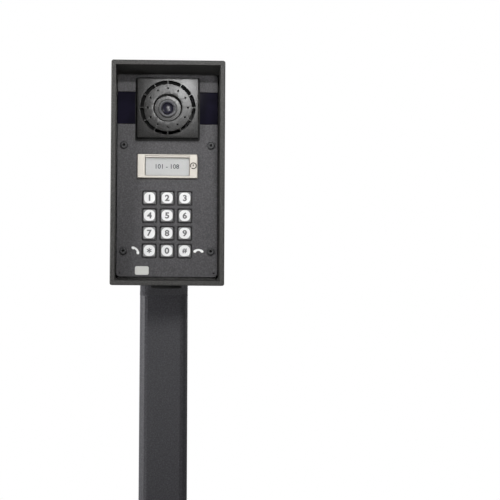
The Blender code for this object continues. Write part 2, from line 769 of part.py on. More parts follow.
def housing_pillars():
    """Screw bosses in the cavity's corners and standoffs for the main board."""
    root = HEAD_BACK + HEAD_BACK_WALL / 2
    boss, standoff = circle(BOSS_DIAMETER, SMALL_ROUND), circle(STANDOFF_DIAMETER, SMALL_ROUND)
    pillars = [slab(boss, root, LEDGE_FRONT, x, height) for x, height in panel_screw_places()]
    top = CAVITY_BACK + STANDOFF_HEIGHT
    pillars += [slab(standoff, root, top, x, height) for x, height in standoff_places()]
    return pillars


def standoff_places():
    x = MAIN_BOARD_WIDTH / 2 - STANDOFF_INSET
    heights = (MAIN_BOARD_BOTTOM + STANDOFF_INSET, MAIN_BOARD_TOP - STANDOFF_INSET)
    return [(side * x, height) for height in heights for side in (-1, 1)]


def housing_bores():
    """Cable hole, screw holes, pilot holes in the bosses and the microphones' pockets."""
    bores = back_bores(ARM_REACH, CAVITY_BACK + GAP)
    pilot = circle(SCREW_HOLE_DIAMETER, SMALL_ROUND)
    pilot_back = PANEL_FRONT + GAP - PANEL_SCREW_LENGTH - GAP
    bores += [slab(pilot, pilot_back, PANEL_BACK, x, height) for x, height in panel_screw_places()]
    side = MICROPHONE_DIAMETER + 2 * GAP
    pocket = rounded_rectangle(side, side, HEAD_CORNER, 2)
    pocket_back = LEDGE_FRONT - MICROPHONE_LENGTH - GAP
    for x in (-MICROPHONE_X, MICROPHONE_X):
        bores.append(slab(pocket, pocket_back, PANEL_BACK, x, MICROPHONE_HEIGHT))
    return bores


def plug_bore_rings():
    """The plug's bore through the housing's floor and square to it."""
    outline = circle(PLUG_STUD_DIAMETER + 2 * GAP)
    return [plug_ring(outline, -PLUG_HEAD_THICK), plug_ring(outline, 2 * PLUG_STUD_LENGTH)]


def plug_ring(outline, inward):
    """An outline square to the housing's floor, at a distance inward from its outer face."""
    forward = HEAD_BACK + PLUG_FORWARD
    lean = math.atan2(FLOOR_FALL, HEAD_BOTTOM_DEPTH)
    turn = Matrix.Rotation(lean, 4, "X")
    place = Vector((0.0, AXIS_Y - forward, floor_height(forward)))
    return [place + turn @ Vector((point.x, point.y, inward)) for point in outline]


def make_cable_entry_plug(material):
    head = circle(PLUG_HEAD_DIAMETER)
    eased = circle(PLUG_HEAD_DIAMETER - 2 * PLUG_CHAMFER)
    stud = circle(PLUG_STUD_DIAMETER)
    rings = [
        plug_ring(eased, -PLUG_HEAD_THICK - GAP),
        plug_ring(head, -PLUG_HEAD_THICK - GAP + PLUG_CHAMFER),
        plug_ring(head, -GAP),
        plug_ring(stud, -GAP),
        plug_ring(stud, PLUG_STUD_LENGTH),
    ]
    plug = loft("cable_entry_plug", rings, material)
    slot = rounded_rectangle(PLUG_SLOT_LENGTH, PLUG_SLOT_WIDTH, PLUG_SLOT_WIDTH / 3, 2)
    below = -PLUG_HEAD_THICK - GAP
    rings = [plug_ring(slot, below - PLUG_SLOT_DEPTH), plug_ring(slot, below + PLUG_SLOT_DEPTH)]
    cut(plug, loft("plug_slot", rings, material))


def make_screw(name, under_head, x, height, length, material):
    """A button-head socket screw whose head faces the front."""
    top = under_head + SCREW_HEAD_THICK
    tip = under_head - length
    profile = [
        (tip, SCREW_SHANK_DIAMETER - 2 * GAP),
        (tip + GAP, SCREW_SHANK_DIAMETER),
        (under_head, SCREW_SHANK_DIAMETER),
    ]
    flat = SCREW_SOCKET_ACROSS + 4 * GAP
    for angle in (0, 30, 60, 90):
        rise = SCREW_HEAD_THICK * math.sin(math.radians(angle))
        spread = (SCREW_HEAD_DIAMETER - flat) * math.cos(math.radians(angle))
        profile.append((under_head + rise, flat + spread))
    screw = loft(name, turned(profile, x, height, SMALL_ROUND), material)
    socket = slab(hexagon(SCREW_SOCKET_ACROSS), top - SCREW_SOCKET_DEPTH, top + GAP, x, height)
    cut(screw, loft(name + "_socket", socket, material))


def make_screws(materials):
    for number, (x, height) in enumerate(panel_screw_places(), 1):
        name = f"panel_screw_{number}"
        make_screw(name, PANEL_FRONT + GAP, x, height, PANEL_SCREW_LENGTH, materials["black_screw"])
    under_head = CAVITY_BACK + GAP
    length = under_head - MOUNT_PLATE_BACK - GAP
    for number, (x, height) in enumerate(head_screw_places(), 1):
        make_screw(f"housing_screw_{number}", under_head, x, height, length, materials["steel"])


# Front panel


def key_places():
    """Each key's name and its place on the panel."""
    places = []
    for row, names in enumerate(KEY_ROWS):
        for column, name in enumerate(names):
            height = KEY_TOP_ROW_HEIGHT - row * KEY_ROW_PITCH
            places.append((f"key_{name}", (column - 1) * KEY_PITCH, height))
    return places


def post_places():
    """Posts behind the panel that hold the front board."""
    x = FRONT_BOARD_WIDTH / 2 - POST_INSET
    heights = (FRONT_BOARD_BOTTOM + POST_INSET, FRONT_BOARD_TOP - POST_INSET)
    return [(side * x, height) for height in heights for side in (-1, 1)]


def make_panel_gasket(material):
    low, high = PANEL_BOTTOM + GAP, PANEL_TOP - GAP
    rings = frame_rings(
        PANEL_WIDTH - 2 * GAP,
        high - low,
        PANEL_CORNER,
        PANEL_GASKET_WIDTH,
        LEDGE_FRONT + GAP,
        LEDGE_FRONT + GAP + PANEL_GASKET_THICK,
        (low + high) / 2,
    )
    hoop("panel_gasket", rings, material)


def make_front_panel(material):
    outline = rounded_rectangle(PANEL_WIDTH, PANEL_TOP - PANEL_BOTTOM, PANEL_CORNER)
    edge = PANEL_THICK / 8
    eased = rounded_rectangle(
        PANEL_WIDTH - 2 * edge, PANEL_TOP - PANEL_BOTTOM - 2 * edge, PANEL_CORNER - edge
    )
    rings = slab(outline, PANEL_BACK, PANEL_FRONT - edge, 0.0, PANEL_MIDDLE)
    rings.append(facing(eased, PANEL_FRONT, 0.0, PANEL_MIDDLE))
    panel = loft("front_panel", rings, material)

    ring_bore = circle(SPEAKER_HOLE_DIAMETER, FINE_ROUND)
    ring_wall = circle(SPEAKER_HOLE_DIAMETER + 2 * SPEAKER_RING_WALL, FINE_ROUND)
    inside = PANEL_BACK + PANEL_THICK / 2
    ring_back = PANEL_BACK - SPEAKER_RING_LENGTH
    parts = [slab(ring_wall, ring_back, inside, 0.0, BLOCK_HEIGHT)]
    post = circle(POST_DIAMETER, SMALL_ROUND)
    post_back = FRONT_BOARD_FRONT + GAP
    parts += [slab(post, post_back, inside, x, height) for x, height in post_places()]
    join(panel, lofts("panel_posts", parts, material))

    back, front = ring_back - GAP, PANEL_FRONT + GAP
    bores = [slab(ring_bore, back, front, 0.0, BLOCK_HEIGHT)]
    bores += window_notches(back, front)
    bores += button_and_key_holes(back, front)
    small = circle(SCREW_HOLE_DIAMETER, SMALL_ROUND)
    bores += [slab(small, back, front, x, height) for x, height in panel_screw_places()]
    pinhole = circle(MICROPHONE_HOLE_DIAMETER, TINY_ROUND)
    for x in (-MICROPHONE_X, MICROPHONE_X):
        bores.append(slab(pinhole, back, front, x, MICROPHONE_HEIGHT))
    cut(panel, lofts("panel_bores", bores, material))

    pocket = rounded_rectangle(KEY_POCKET_SIDE, KEY_POCKET_SIDE, KEY_CORNER, 2)
    floor = PANEL_FRONT - KEY_POCKET_DEPTH
    pockets = [slab(pocket, floor, front, x, height) for _, x, height in key_places()]
    cut(panel, lofts("panel_pockets", pockets, material))


def window_notches(back, front):
    """Openings at the panel's edges for the infrared windows."""
    past_edge = PANEL_WIDTH / 2 + PANEL_THICK
    width = past_edge - WINDOW_INNER_X
    outline = rounded_rectangle(width, WINDOW_TOP - WINDOW_BOTTOM, PANEL_THICK / 8, 1)
    middle = (WINDOW_TOP + WINDOW_BOTTOM) / 2
    x = WINDOW_INNER_X + width / 2
    return [slab(outline, PANEL_BACK - GAP, front, side * x, middle) for side in (-1, 1)]


def button_and_key_holes(back, front):
    hole = rounded_rectangle(
        BUTTON_WIDTH + 2 * BUTTON_HOLE_MARGIN,
        BUTTON_HEIGHT + 2 * BUTTON_HOLE_MARGIN,
        BUTTON_CORNER + BUTTON_HOLE_MARGIN,
        2,
    )
    holes = [slab(hole, back, front, 0.0, BUTTON_CENTRE_HEIGHT)]
    side = KEY_SIDE + 2 * SLIDE_GAP
    outline = rounded_rectangle(side, side, KEY_CORNER, 2)
    holes += [slab(outline, back, front, x, height) for _, x, height in key_places()]
    return holes


# Camera and speaker block


def make_camera_block(material):
    foot_side = BLOCK_SIDE - 2 * BLOCK_FOOT_INSET
    foot = rounded_rectangle(foot_side, foot_side, BLOCK_CORNER)
    body = rounded_rectangle(BLOCK_SIDE, BLOCK_SIDE, BLOCK_CORNER)
    eased_side = BLOCK_SIDE - 2 * BLOCK_CHAMFER
    eased = rounded_rectangle(eased_side, eased_side, BLOCK_CORNER - BLOCK_CHAMFER)
    step = BLOCK_BACK + BLOCK_FOOT
    rings = [
        facing(foot, BLOCK_BACK, 0.0, BLOCK_HEIGHT),
        facing(foot, step, 0.0, BLOCK_HEIGHT),
        facing(body, step, 0.0, BLOCK_HEIGHT),
        facing(body, BLOCK_FRONT - BLOCK_CHAMFER, 0.0, BLOCK_HEIGHT),
        facing(eased, BLOCK_FRONT, 0.0, BLOCK_HEIGHT),
    ]
    block = loft("camera_block", rings, material)

    hollow_side = foot_side - 2 * BLOCK_WALL
    hollow = rounded_rectangle(hollow_side, hollow_side, BLOCK_CORNER)
    face_back = BLOCK_FRONT - BLOCK_FACE_THICK
    rings = slab(hollow, BLOCK_BACK - BLOCK_WALL, face_back, 0.0, BLOCK_HEIGHT)
    cut(block, loft("block_hollow", rings, material))

    wall = circle(WELL_DIAMETER + 2 * LENS_TUBE_WALL, FINE_ROUND)
    face_middle = (face_back + BLOCK_FRONT) / 2
    rings = slab(wall, LENS_TUBE_BACK, face_middle, 0.0, BLOCK_HEIGHT)
    join(block, loft("block_tube", rings, material))

    well = [
        (LENS_TUBE_BACK - GAP, BARREL_SPIGOT_DIAMETER + 2 * GAP),
        (WELL_FLOOR, BARREL_SPIGOT_DIAMETER + 2 * GAP),
        (WELL_FLOOR, WELL_DIAMETER),
        (BLOCK_FRONT - WELL_CHAMFER, WELL_DIAMETER),
        (BLOCK_FRONT + GAP, WELL_DIAMETER + 2 * (WELL_CHAMFER + GAP)),
    ]
    cut(block, loft("block_well", turned(well, 0.0, BLOCK_HEIGHT, FINE_ROUND), material))

    back, front = face_back - GAP, BLOCK_FRONT + GAP
    openings = [slab(slot_outline(index), back, front, 0.0, BLOCK_HEIGHT) for index in range(SLOT_COUNT)]
    dot = circle(DOT_DIAMETER, TINY_ROUND)
    for index in range(SLOT_COUNT):
        angle = math.tau * index / SLOT_COUNT
        x = DOT_RADIUS_OF_RING * math.sin(angle)
        height = BLOCK_HEIGHT + DOT_RADIUS_OF_RING * math.cos(angle)
        openings.append(slab(dot, back, front, x, height))
    cut(block, lofts("block_openings", openings, material))


def slot_outline(index):
    """One arc slot of the speaker ring, between two bridges of even width."""
    steps = 4
    middle = math.tau * (index + 0.5) / SLOT_COUNT
    points = []
    for radius, order in ((SLOT_OUTER_RADIUS, 1), (SLOT_INNER_RADIUS, -1)):
        reach = math.pi / SLOT_COUNT - math.asin(SLOT_BRIDGE / 2 / radius)
        for step in range(steps + 1):
            angle = middle + order * reach * (2 * step / steps - 1)
            points.append(radius * Vector((math.cos(angle), math.sin(angle))))
    return points


def make_camera(materials):
    flange_back = WELL_FLOOR + GAP
    barrel_front = BLOCK_FRONT - BARREL_SETBACK
    seat = barrel_front - LIGHT_RING_THICK
    bore = LIGHT_RING_DIAMETER + 2 * GAP
    lens_bore = LENS_DIAMETER + 2 * GAP
    lens_back = seat - LENS_BODY_LENGTH
    rings = turned(
        [
            (LENS_TUBE_BACK - GAP, BARREL_SPIGOT_DIAMETER),
            (flange_back, BARREL_SPIGOT_DIAMETER),
            (flange_back, WELL_DIAMETER - 2 * GAP),
            (flange_back + BARREL_FLANGE_THICK, WELL_DIAMETER - 2 * GAP),
            (flange_back + BARREL_FLANGE_THICK, BARREL_DIAMETER),
            (barrel_front - GAP, BARREL_DIAMETER),
            (barrel_front, BARREL_DIAMETER - 2 * GAP),
            (barrel_front, bore),
            (seat - GAP, bore),
            (seat - GAP, lens_bore),
            (lens_back - GAP, lens_bore),
        ],
        0.0,
        BLOCK_HEIGHT,
        FINE_ROUND,
    )
    loft("camera_barrel", rings, materials["lens_metal"])

    rings = turned(
        [
            (seat, LIGHT_RING_DIAMETER),
            (barrel_front, LIGHT_RING_DIAMETER),
            (barrel_front, LIGHT_RING_DIAMETER - BARREL_RIM),
            (seat + GAP, LIGHT_RING_BORE),
            (seat, LIGHT_RING_BORE),
        ],
        0.0,
        BLOCK_HEIGHT,
        FINE_ROUND,
    )
    hoop("camera_light_ring", rings, materials["light_ring"])

    steps = 5
    dome = []
    for step in range(steps):
        angle = math.radians(90) * step / steps
        dome.append((seat + LENS_BULGE * math.sin(angle), LENS_DIAMETER * math.cos(angle)))
    rings = turned([(lens_back, LENS_DIAMETER)] + dome, 0.0, BLOCK_HEIGHT, FINE_ROUND)
    loft("camera_lens", rings, materials["lens_glass"])

    board_front = LENS_TUBE_BACK - 2 * GAP
    outline = rounded_rectangle(CAMERA_BOARD_SIDE, CAMERA_BOARD_SIDE, BLOCK_CORNER, 2)
    rings = slab(outline, board_front - BOARD_THICK, board_front, 0.0, BLOCK_HEIGHT)
    loft("camera_board", rings, materials["board"])


def make_speaker(material):
    flange_diameter = SPEAKER_HOLE_DIAMETER + 2 * SPEAKER_RING_WALL
    flange_back = SPEAKER_FRONT - SPEAKER_FLANGE_THICK
    magnet_front = SPEAKER_BACK + SPEAKER_MAGNET_THICK
    cone_mouth = SPEAKER_HOLE_DIAMETER - 2 * SPEAKER_RING_WALL
    profile = [
        (SPEAKER_BACK, SPEAKER_MAGNET_DIAMETER),
        (magnet_front, SPEAKER_MAGNET_DIAMETER),
        (flange_back - SPEAKER_FLANGE_THICK, flange_diameter * 0.8),
        (flange_back, flange_diameter * 0.9),
        (flange_back, flange_diameter),
        (SPEAKER_FRONT, flange_diameter),
        (SPEAKER_FRONT, cone_mouth),
        (magnet_front + 2 * SPEAKER_FLANGE_THICK, SPEAKER_CAP_DIAMETER),
        (magnet_front + 3 * SPEAKER_FLANGE_THICK, SPEAKER_CAP_DIAMETER / 2),
    ]
    loft("speaker", turned(profile, 0.0, BLOCK_HEIGHT), material)


# Infrared windows


def make_infrared(side_name, side, materials):
    edge = PANEL_WIDTH / 2
    inner = WINDOW_INNER_X + GAP
    width = edge - inner
    tall = WINDOW_TOP - WINDOW_BOTTOM - 2 * GAP
    middle = (WINDOW_TOP + WINDOW_BOTTOM) / 2
    x = side * (inner + edge) / 2
    front = PANEL_FRONT - WINDOW_SINK
    outline = rounded_rectangle(width, tall, 2 * GAP, 1)
    eased = rounded_rectangle(width - 2 * GAP, tall - 2 * GAP, GAP, 1)
    rings = slab(outline, PANEL_BACK, front - GAP, x, middle) + [facing(eased, front, x, middle)]
    loft(f"ir_window_{side_name}", rings, materials["smoked_plastic"])

    diode_front = PANEL_BACK - GAP
    board_front = diode_front - IR_DIODE_LENGTH
    board_inner = inner + IR_BOARD_INSET
    board_width = IR_BOARD_OUTER_X - board_inner
    board_tall = tall - 2 * IR_BOARD_INSET
    board_x = side * (board_inner + IR_BOARD_OUTER_X) / 2
    outline = rounded_rectangle(board_width, board_tall, BLOCK_CORNER, 2)
    rings = slab(outline, board_front - IR_BOARD_THICK, board_front, board_x, middle)
    board = loft(f"ir_board_{side_name}", rings, materials["board"])
    diodes = []
    for column in range(IR_DIODE_COLUMNS):
        for row in range(IR_DIODE_ROWS):
            across = board_x + board_width * ((column + 0.5) / IR_DIODE_COLUMNS - 0.5)
            height = middle + board_tall * ((row + 0.5) / IR_DIODE_ROWS - 0.5)
            profile = [
                (board_front - IR_BOARD_THICK / 2, IR_DIODE_DIAMETER),
                (diode_front - IR_DIODE_DIAMETER / 4, IR_DIODE_DIAMETER),
                (diode_front, IR_DIODE_DIAMETER / 2),
            ]
            diodes.append(turned(profile, across, height, TINY_ROUND))
    join(board, lofts(f"ir_diodes_{side_name}", diodes, materials["black_plastic"]))


# Call button and keypad


def make_call_button(materials):
    front = PANEL_FRONT + BUTTON_PROUD
    flange = rounded_rectangle(
        BUTTON_WIDTH + 2 * BUTTON_FLANGE_MARGIN, BUTTON_HEIGHT + 2 * BUTTON_FLANGE_MARGIN, BUTTON_CORNER
    )
    body = rounded_rectangle(BUTTON_WIDTH, BUTTON_HEIGHT, BUTTON_CORNER)
    rim = BUTTON_CHAMFER
    eased = rounded_rectangle(BUTTON_WIDTH - 2 * rim, BUTTON_HEIGHT - 2 * rim, BUTTON_CORNER - rim)
    centre = BUTTON_CENTRE_HEIGHT
    rings = [
        facing(flange, FLANGE_BACK, 0.0, centre),
        facing(flange, FLANGE_FRONT, 0.0, centre),
        facing(body, FLANGE_FRONT, 0.0, centre),
        facing(body, front - rim, 0.0, centre),
        facing(eased, front, 0.0, centre),
    ]
    button = loft("call_button", rings, materials["satin_metal"])

    window_front = front - CARD_WINDOW_SINK
    card_front = window_front - CARD_WINDOW_THICK - GAP
    card_back = card_front - CARD_THICK
    card_middle = centre + CARD_RISE
    pocket = rounded_rectangle(CARD_WIDTH + 2 * GAP, CARD_HEIGHT + 2 * GAP, BUTTON_CORNER, 2)
    rings = slab(pocket, card_back - GAP, front + GAP, 0.0, card_middle)
    cut(button, loft("button_pocket", rings, materials["satin_metal"]))

    outline = rounded_rectangle(CARD_WIDTH, CARD_HEIGHT, BUTTON_CORNER - GAP, 2)
    rings = slab(outline, card_back, card_front, 0.0, card_middle)
    loft("label_card", rings, materials["card"])
    rings = slab(outline, card_front + GAP, window_front, 0.0, card_middle)
    loft("label_window", rings, materials["clear_plastic"])


def make_keys(material):
    """Keys whose round faces rise from square caps, each with a flange behind the panel."""
    front = PANEL_FRONT + KEY_PROUD
    flange_side = KEY_SIDE + 2 * SLIDE_GAP + 2 * KEY_FLANGE_MARGIN
    flange = rounded_rectangle(flange_side, flange_side, KEY_CORNER)
    cap = rounded_rectangle(KEY_SIDE, KEY_SIDE, KEY_CORNER)
    face = circle(KEY_FACE_DIAMETER)
    for name, x, height in key_places():
        key = [
            facing(flange, FLANGE_BACK),
            facing(flange, FLANGE_FRONT),
            facing(cap, FLANGE_FRONT),
            facing(cap, front - KEY_SHOULDER),
            facing(face, front),
        ]
        place = Vector((x, AXIS_Y - front, height))
        axis = Vector((0.0, AXIS_Y - front, 0.0))
        thing = loft(name, [[point - axis for point in ring] for ring in key], material)
        thing.location = place


# Boards and switches behind the panel


def make_front_board(materials):
    middle = (FRONT_BOARD_TOP + FRONT_BOARD_BOTTOM) / 2
    outline = rounded_rectangle(
        FRONT_BOARD_WIDTH, FRONT_BOARD_TOP - FRONT_BOARD_BOTTOM, POST_INSET / 2, 2
    )
    rings = slab(outline, FRONT_BOARD_BACK, FRONT_BOARD_FRONT, 0.0, middle)
    loft("front_board", rings, materials["board"])

    mat_back = FRONT_BOARD_FRONT + GAP
    mat_front = mat_back + MAT_THICK
    columns, rows = len(KEY_ROWS[0]), len(KEY_ROWS)
    width = (columns - 1) * KEY_PITCH + DOME_DIAMETER + 2 * MAT_MARGIN
    tall = (rows - 1) * KEY_ROW_PITCH + DOME_DIAMETER + 2 * MAT_MARGIN
    mat_middle = KEY_TOP_ROW_HEIGHT - (rows - 1) * KEY_ROW_PITCH / 2
    outline = rounded_rectangle(width, tall, MAT_MARGIN, 3)
    mat = loft("keypad_mat", slab(outline, mat_back, mat_front, 0.0, mat_middle), materials["rubber"])
    domes = []
    for _, x, height in key_places():
        profile = [
            (mat_back + MAT_THICK / 2, DOME_DIAMETER),
            (mat_front, DOME_DIAMETER),
            (SWITCH_TOP, DOME_TOP_DIAMETER),
        ]
        domes.append(turned(profile, x, height, TINY_ROUND))
    join(mat, lofts("keypad_domes", domes, materials["rubber"]))

    outline = rounded_rectangle(SWITCH_SIDE, SWITCH_SIDE, SWITCH_HEIGHT / 2, 1)
    body_front = mat_back + SWITCH_HEIGHT
    rings = slab(outline, mat_back, body_front, 0.0, BUTTON_CENTRE_HEIGHT)
    switch = loft("call_switch", rings, materials["black_plastic"])
    plunger = [(body_front - GAP, SWITCH_SIDE / 2), (SWITCH_TOP, SWITCH_SIDE / 2)]
    rings = turned(plunger, 0.0, BUTTON_CENTRE_HEIGHT, SMALL_ROUND)
    join(switch, loft("switch_plunger", rings, materials["black_plastic"]))


def make_main_board(materials):
    middle = (MAIN_BOARD_TOP + MAIN_BOARD_BOTTOM) / 2
    outline = rounded_rectangle(
        MAIN_BOARD_WIDTH, MAIN_BOARD_TOP - MAIN_BOARD_BOTTOM, POST_INSET / 2, 2
    )
    rings = slab(outline, MAIN_BOARD_BACK, MAIN_BOARD_FRONT, 0.0, middle)
    loft("main_board", rings, materials["board"])

    height = MAIN_BOARD_BOTTOM + STANDOFF_INSET
    back = MAIN_BOARD_FRONT + GAP
    front = back + TERMINAL_DEPTH
    outline = rounded_rectangle(TERMINAL_WIDTH, TERMINAL_HEIGHT, GAP, 1)
    block = loft("terminal_block", slab(outline, back, front, 0.0, height), materials["black_plastic"])
    pitch = TERMINAL_WIDTH / TERMINAL_WAYS
    well = circle(TERMINAL_SCREW_DIAMETER, TINY_ROUND)
    wells = []
    for way in range(TERMINAL_WAYS):
        x = (way + 0.5) * pitch - TERMINAL_WIDTH / 2
        wells.append(slab(well, front - TERMINAL_DEPTH / 2, front + GAP, x, height))
    cut(block, lofts("terminal_wells", wells, materials["black_plastic"]))


def make_microphones(material):
    front = LEDGE_FRONT
    back = front - MICROPHONE_LENGTH
    for side_name, x in (("left", -MICROPHONE_X), ("right", MICROPHONE_X)):
        profile = [
            (back, MICROPHONE_DIAMETER),
            (front, MICROPHONE_DIAMETER),
            (front, MICROPHONE_DIAMETER / 2),
            (front - MICROPHONE_LENGTH / 4, MICROPHONE_DIAMETER / 2),
        ]
        loft(f"microphone_{side_name}", turned(profile, x, MICROPHONE_HEIGHT, ROUND), material)


def make_tamper_switch(material):
    outline = rounded_rectangle(TAMPER_WIDTH, TAMPER_TALL, GAP, 1)
    tip = PANEL_BACK - GAP
    body_front = tip - TAMPER_PLUNGER_LENGTH
    rings = slab(outline, CAVITY_BACK + GAP, body_front, TAMPER_X, TAMPER_HEIGHT)
    switch = loft("tamper_switch", rings, material)
    plunger = [(body_front - GAP, TAMPER_PLUNGER_DIAMETER), (tip, TAMPER_PLUNGER_DIAMETER)]
    rings = turned(plunger, TAMPER_X, TAMPER_HEIGHT, SMALL_ROUND)
    join(switch, loft("tamper_plunger", rings, material))


def main():
    clear_scene()
    materials = make_materials()
    make_base_plate(materials["post_paint"])
    make_foot_weld(materials["post_paint"])
    make_post(materials["post_paint"])
    make_earth_stud(materials["steel"])
    make_mounting_plate(materials["post_paint"])
    make_back_gasket(materials["rubber"])
    make_housing(materials["head_paint"])
    make_cable_entry_plug(materials["black_plastic"])
    make_screws(materials)
    make_panel_gasket(materials["rubber"])
    make_front_panel(materials["panel_paint"])
    make_camera_block(materials["panel_paint"])
    make_camera(materials)
    make_speaker(materials["black_plastic"])
    make_infrared("left", -1, materials)
    make_infrared("right", 1, materials)
    make_call_button(materials)
    make_keys(materials["key_plastic"])
    make_front_board(materials)
    make_main_board(materials)
    make_microphones(materials["rubber"])
    make_tamper_switch(materials["black_plastic"])


main()
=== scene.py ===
"""Looks of the gate intercom post: paint, metal, plastic and glass, and the fine pieces.

Lengths are in metres, +Z is up and the front faces -Y, as in the frame. Places and sizes come
from the frame's boxes, and what the boxes don't say is a named value below.
"""

import math

import bmesh
import bpy
import numpy as np
from mathutils import Matrix, Vector


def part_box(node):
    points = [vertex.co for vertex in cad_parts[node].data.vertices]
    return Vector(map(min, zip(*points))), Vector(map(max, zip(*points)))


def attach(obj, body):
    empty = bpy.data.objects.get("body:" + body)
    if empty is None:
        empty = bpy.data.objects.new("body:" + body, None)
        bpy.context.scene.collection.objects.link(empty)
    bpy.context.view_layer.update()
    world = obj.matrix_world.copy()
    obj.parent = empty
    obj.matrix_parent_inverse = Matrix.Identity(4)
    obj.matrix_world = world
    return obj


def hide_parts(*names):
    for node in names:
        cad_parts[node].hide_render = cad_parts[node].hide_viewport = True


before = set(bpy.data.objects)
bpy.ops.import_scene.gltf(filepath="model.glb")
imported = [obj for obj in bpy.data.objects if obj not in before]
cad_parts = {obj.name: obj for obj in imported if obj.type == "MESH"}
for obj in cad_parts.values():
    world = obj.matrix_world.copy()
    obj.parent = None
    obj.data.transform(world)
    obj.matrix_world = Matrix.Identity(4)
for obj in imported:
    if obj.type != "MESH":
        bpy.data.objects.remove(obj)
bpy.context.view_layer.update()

MM = 0.001
RIGHT_ANGLE = math.radians(90)
TOLERANCE = 0.1 * MM

# The photograph's view of the head, from in front, a little to the left and below
IMAGE = 500
CAMERA_PLACE = Vector((-0.029, -2.38, 0.645))
CAMERA_TARGET = Vector((0.0783, -0.18, 1.0124))
CAMERA_FOCAL_PIXELS = 2356.0
SENSOR = 36.0

# The spot aimed at the head, and the round lamps as place, target, size and power
SPOT_PLACE = (0.34, -2.3, 1.10)
SPOT_TARGET = (0.0, -0.1, 1.12)
SPOT_POWER = 84.0
SPOT_RADIUS = 0.2
SPOT_CONE = math.radians(10.6)
SPOT_BLEND = 0.45
AREA_LIGHTS = {
    "left_light": ((-1.5, -1.8, 0.75), (0, 0, 0.7), 0.5, 15.0),
    "side_light": ((-1.7, -0.1, 1.45), (0, 0, 1.05), 0.6, 34.0),
    "right_light": ((1.7, 0.4, 1.4), (0, 0, 0.9), 0.7, 3.0),
    "back_light": ((0.4, 2.2, 1.9), (0, 0, 0.8), 1.4, 26.0),
    "near_light": ((0.021, -0.454, 1.245), (0.02, -0.154, 1.17), 0.012, 0.40),
}
FLOOR_RADIUS = 7.0
FLOOR_FADE = (0.35, 1.3)
FLOOR_COLOUR = (0.9, 0.9, 0.9)
FLOOR_BOUNCE = (0.18, 0.18, 0.18)

# The sky's light, upwards and from left to right: two places and the strengths there
SKY_RISE = (-0.5, 0.8, 0.05, 0.6)
SKY_SIDE = (-1.0, 1.0, 1.6, 0.4)

# Bent tubes of the post
TUBE_SIDE = 50 * MM
TUBE_CORNER = 8 * MM
NECK_DEPTH = 43 * MM
NECK_SLOPE = math.radians(45)
KNEE_HEIGHT = 1.015
ARM_TOP = 1.121
SEAM_HALF_WIDTH = 1.6 * MM
SEAM_PROUD = 0.22 * MM

# Weld bead round the foot
BEAD_LEG = 5 * MM
BEAD_PITCH = 3.1 * MM
BEAD_RIPPLE = 0.5 * MM
BEAD_SPACING = 0.45 * MM
BEAD_SIDE = TUBE_SIDE + 0.4 * MM

# Earth stud, washer and nut
THREAD_PITCH = 1.0 * MM
THREAD_DEPTH = 0.30 * MM
STUD_RADIUS = 3.0 * MM
STUD_HEAD = 1.8 * MM
STUD_POINTS = 36
STUD_STEPS = 90
STUD_TIP_STEPS = 6
STUD_GAP = 0.25 * MM
WASHER_EASE = 0.15 * MM
NUT_CHAMFER = 0.7 * MM
NUT_FACE = 0.94

# Floor plate and mounting plate
ANCHOR_SPACING = 150 * MM
ANCHOR_HOLE = 14 * MM
FLOOR_CABLE_HOLE = 36 * MM
FLOOR_HOLE_EASE = 0.5 * MM
FLOOR_PLATE_CORNER = 10 * MM
NECK_CABLE_HOLE = 28 * MM
NECK_CABLE_DROP = 36 * MM
MOUNT_PLATE_CORNER = 4 * MM
SCREW_HOLE = 4.6 * MM
PLATE_EASE = 0.8 * MM

# Head, its panel and what sits in the panel
CLEARANCE = 0.3 * MM
RIM_EASE = 0.3 * MM
RIM_FOOT = 1.2 * MM
RIM_CROWN = 4.2 * MM
PANEL_THICK = 3 * MM
PANEL_CORNER = 3.5 * MM
PANEL_EASE = 0.3 * MM
SPEAKER_HOLE = 51 * MM
SPEAKER_WALL = 2.5 * MM
MICROPHONE_HOLE = 1.6 * MM
MICROPHONE_EASE = 0.15 * MM
BOARD_POST = 5 * MM
BOARD_POST_INSET = 3 * MM
FLANGE_THICK = 1.2 * MM
BUTTON_FLANGE = 2 * MM
BUTTON_GAP = 0.5 * MM
BUTTON_CORNER = 0.8 * MM
BUTTON_HOLE_CORNER = 1.3 * MM
BUTTON_EASE = 0.6 * MM
CARD_EASE = 0.45 * MM
KEY_SIDE = 11.8 * MM
KEY_CORNER = 1.6 * MM
KEY_FACE_RADIUS = 5.2 * MM
KEY_RISE = 1.02 * MM
KEY_FACE_DEPTH = 0.03 * MM
KEY_POINTS = 80
KEY_SLIDE_GAP = 0.4 * MM
KEY_POCKET = 14.4 * MM
KEY_POCKET_DEPTH = 1.2 * MM
POCKET_EASE = 0.35 * MM
POCKET_MARGIN = 2 * MM

# Panel screws
SCREW_HEAD = 2.2 * MM
SCREW_CROWN_RADIUS = 2.3 * MM
SCREW_EDGE = 0.3 * MM
SCREW_SHANK_RADIUS = 2.0 * MM
SOCKET_HALF_WIDTH = 1.25 * MM
SOCKET_DEPTH = 1.3 * MM
SOCKET_POINT = 1.7 * MM
SOCKET_EASE = 0.15 * MM
SOCKET_TIP = 0.2 * MM
# Depths and reach of the painted shade in the screw socket
SOCKET_DARK = (0.2 * MM, 2.0 * MM)
SOCKET_DARK_REACH = 1.3 * MM

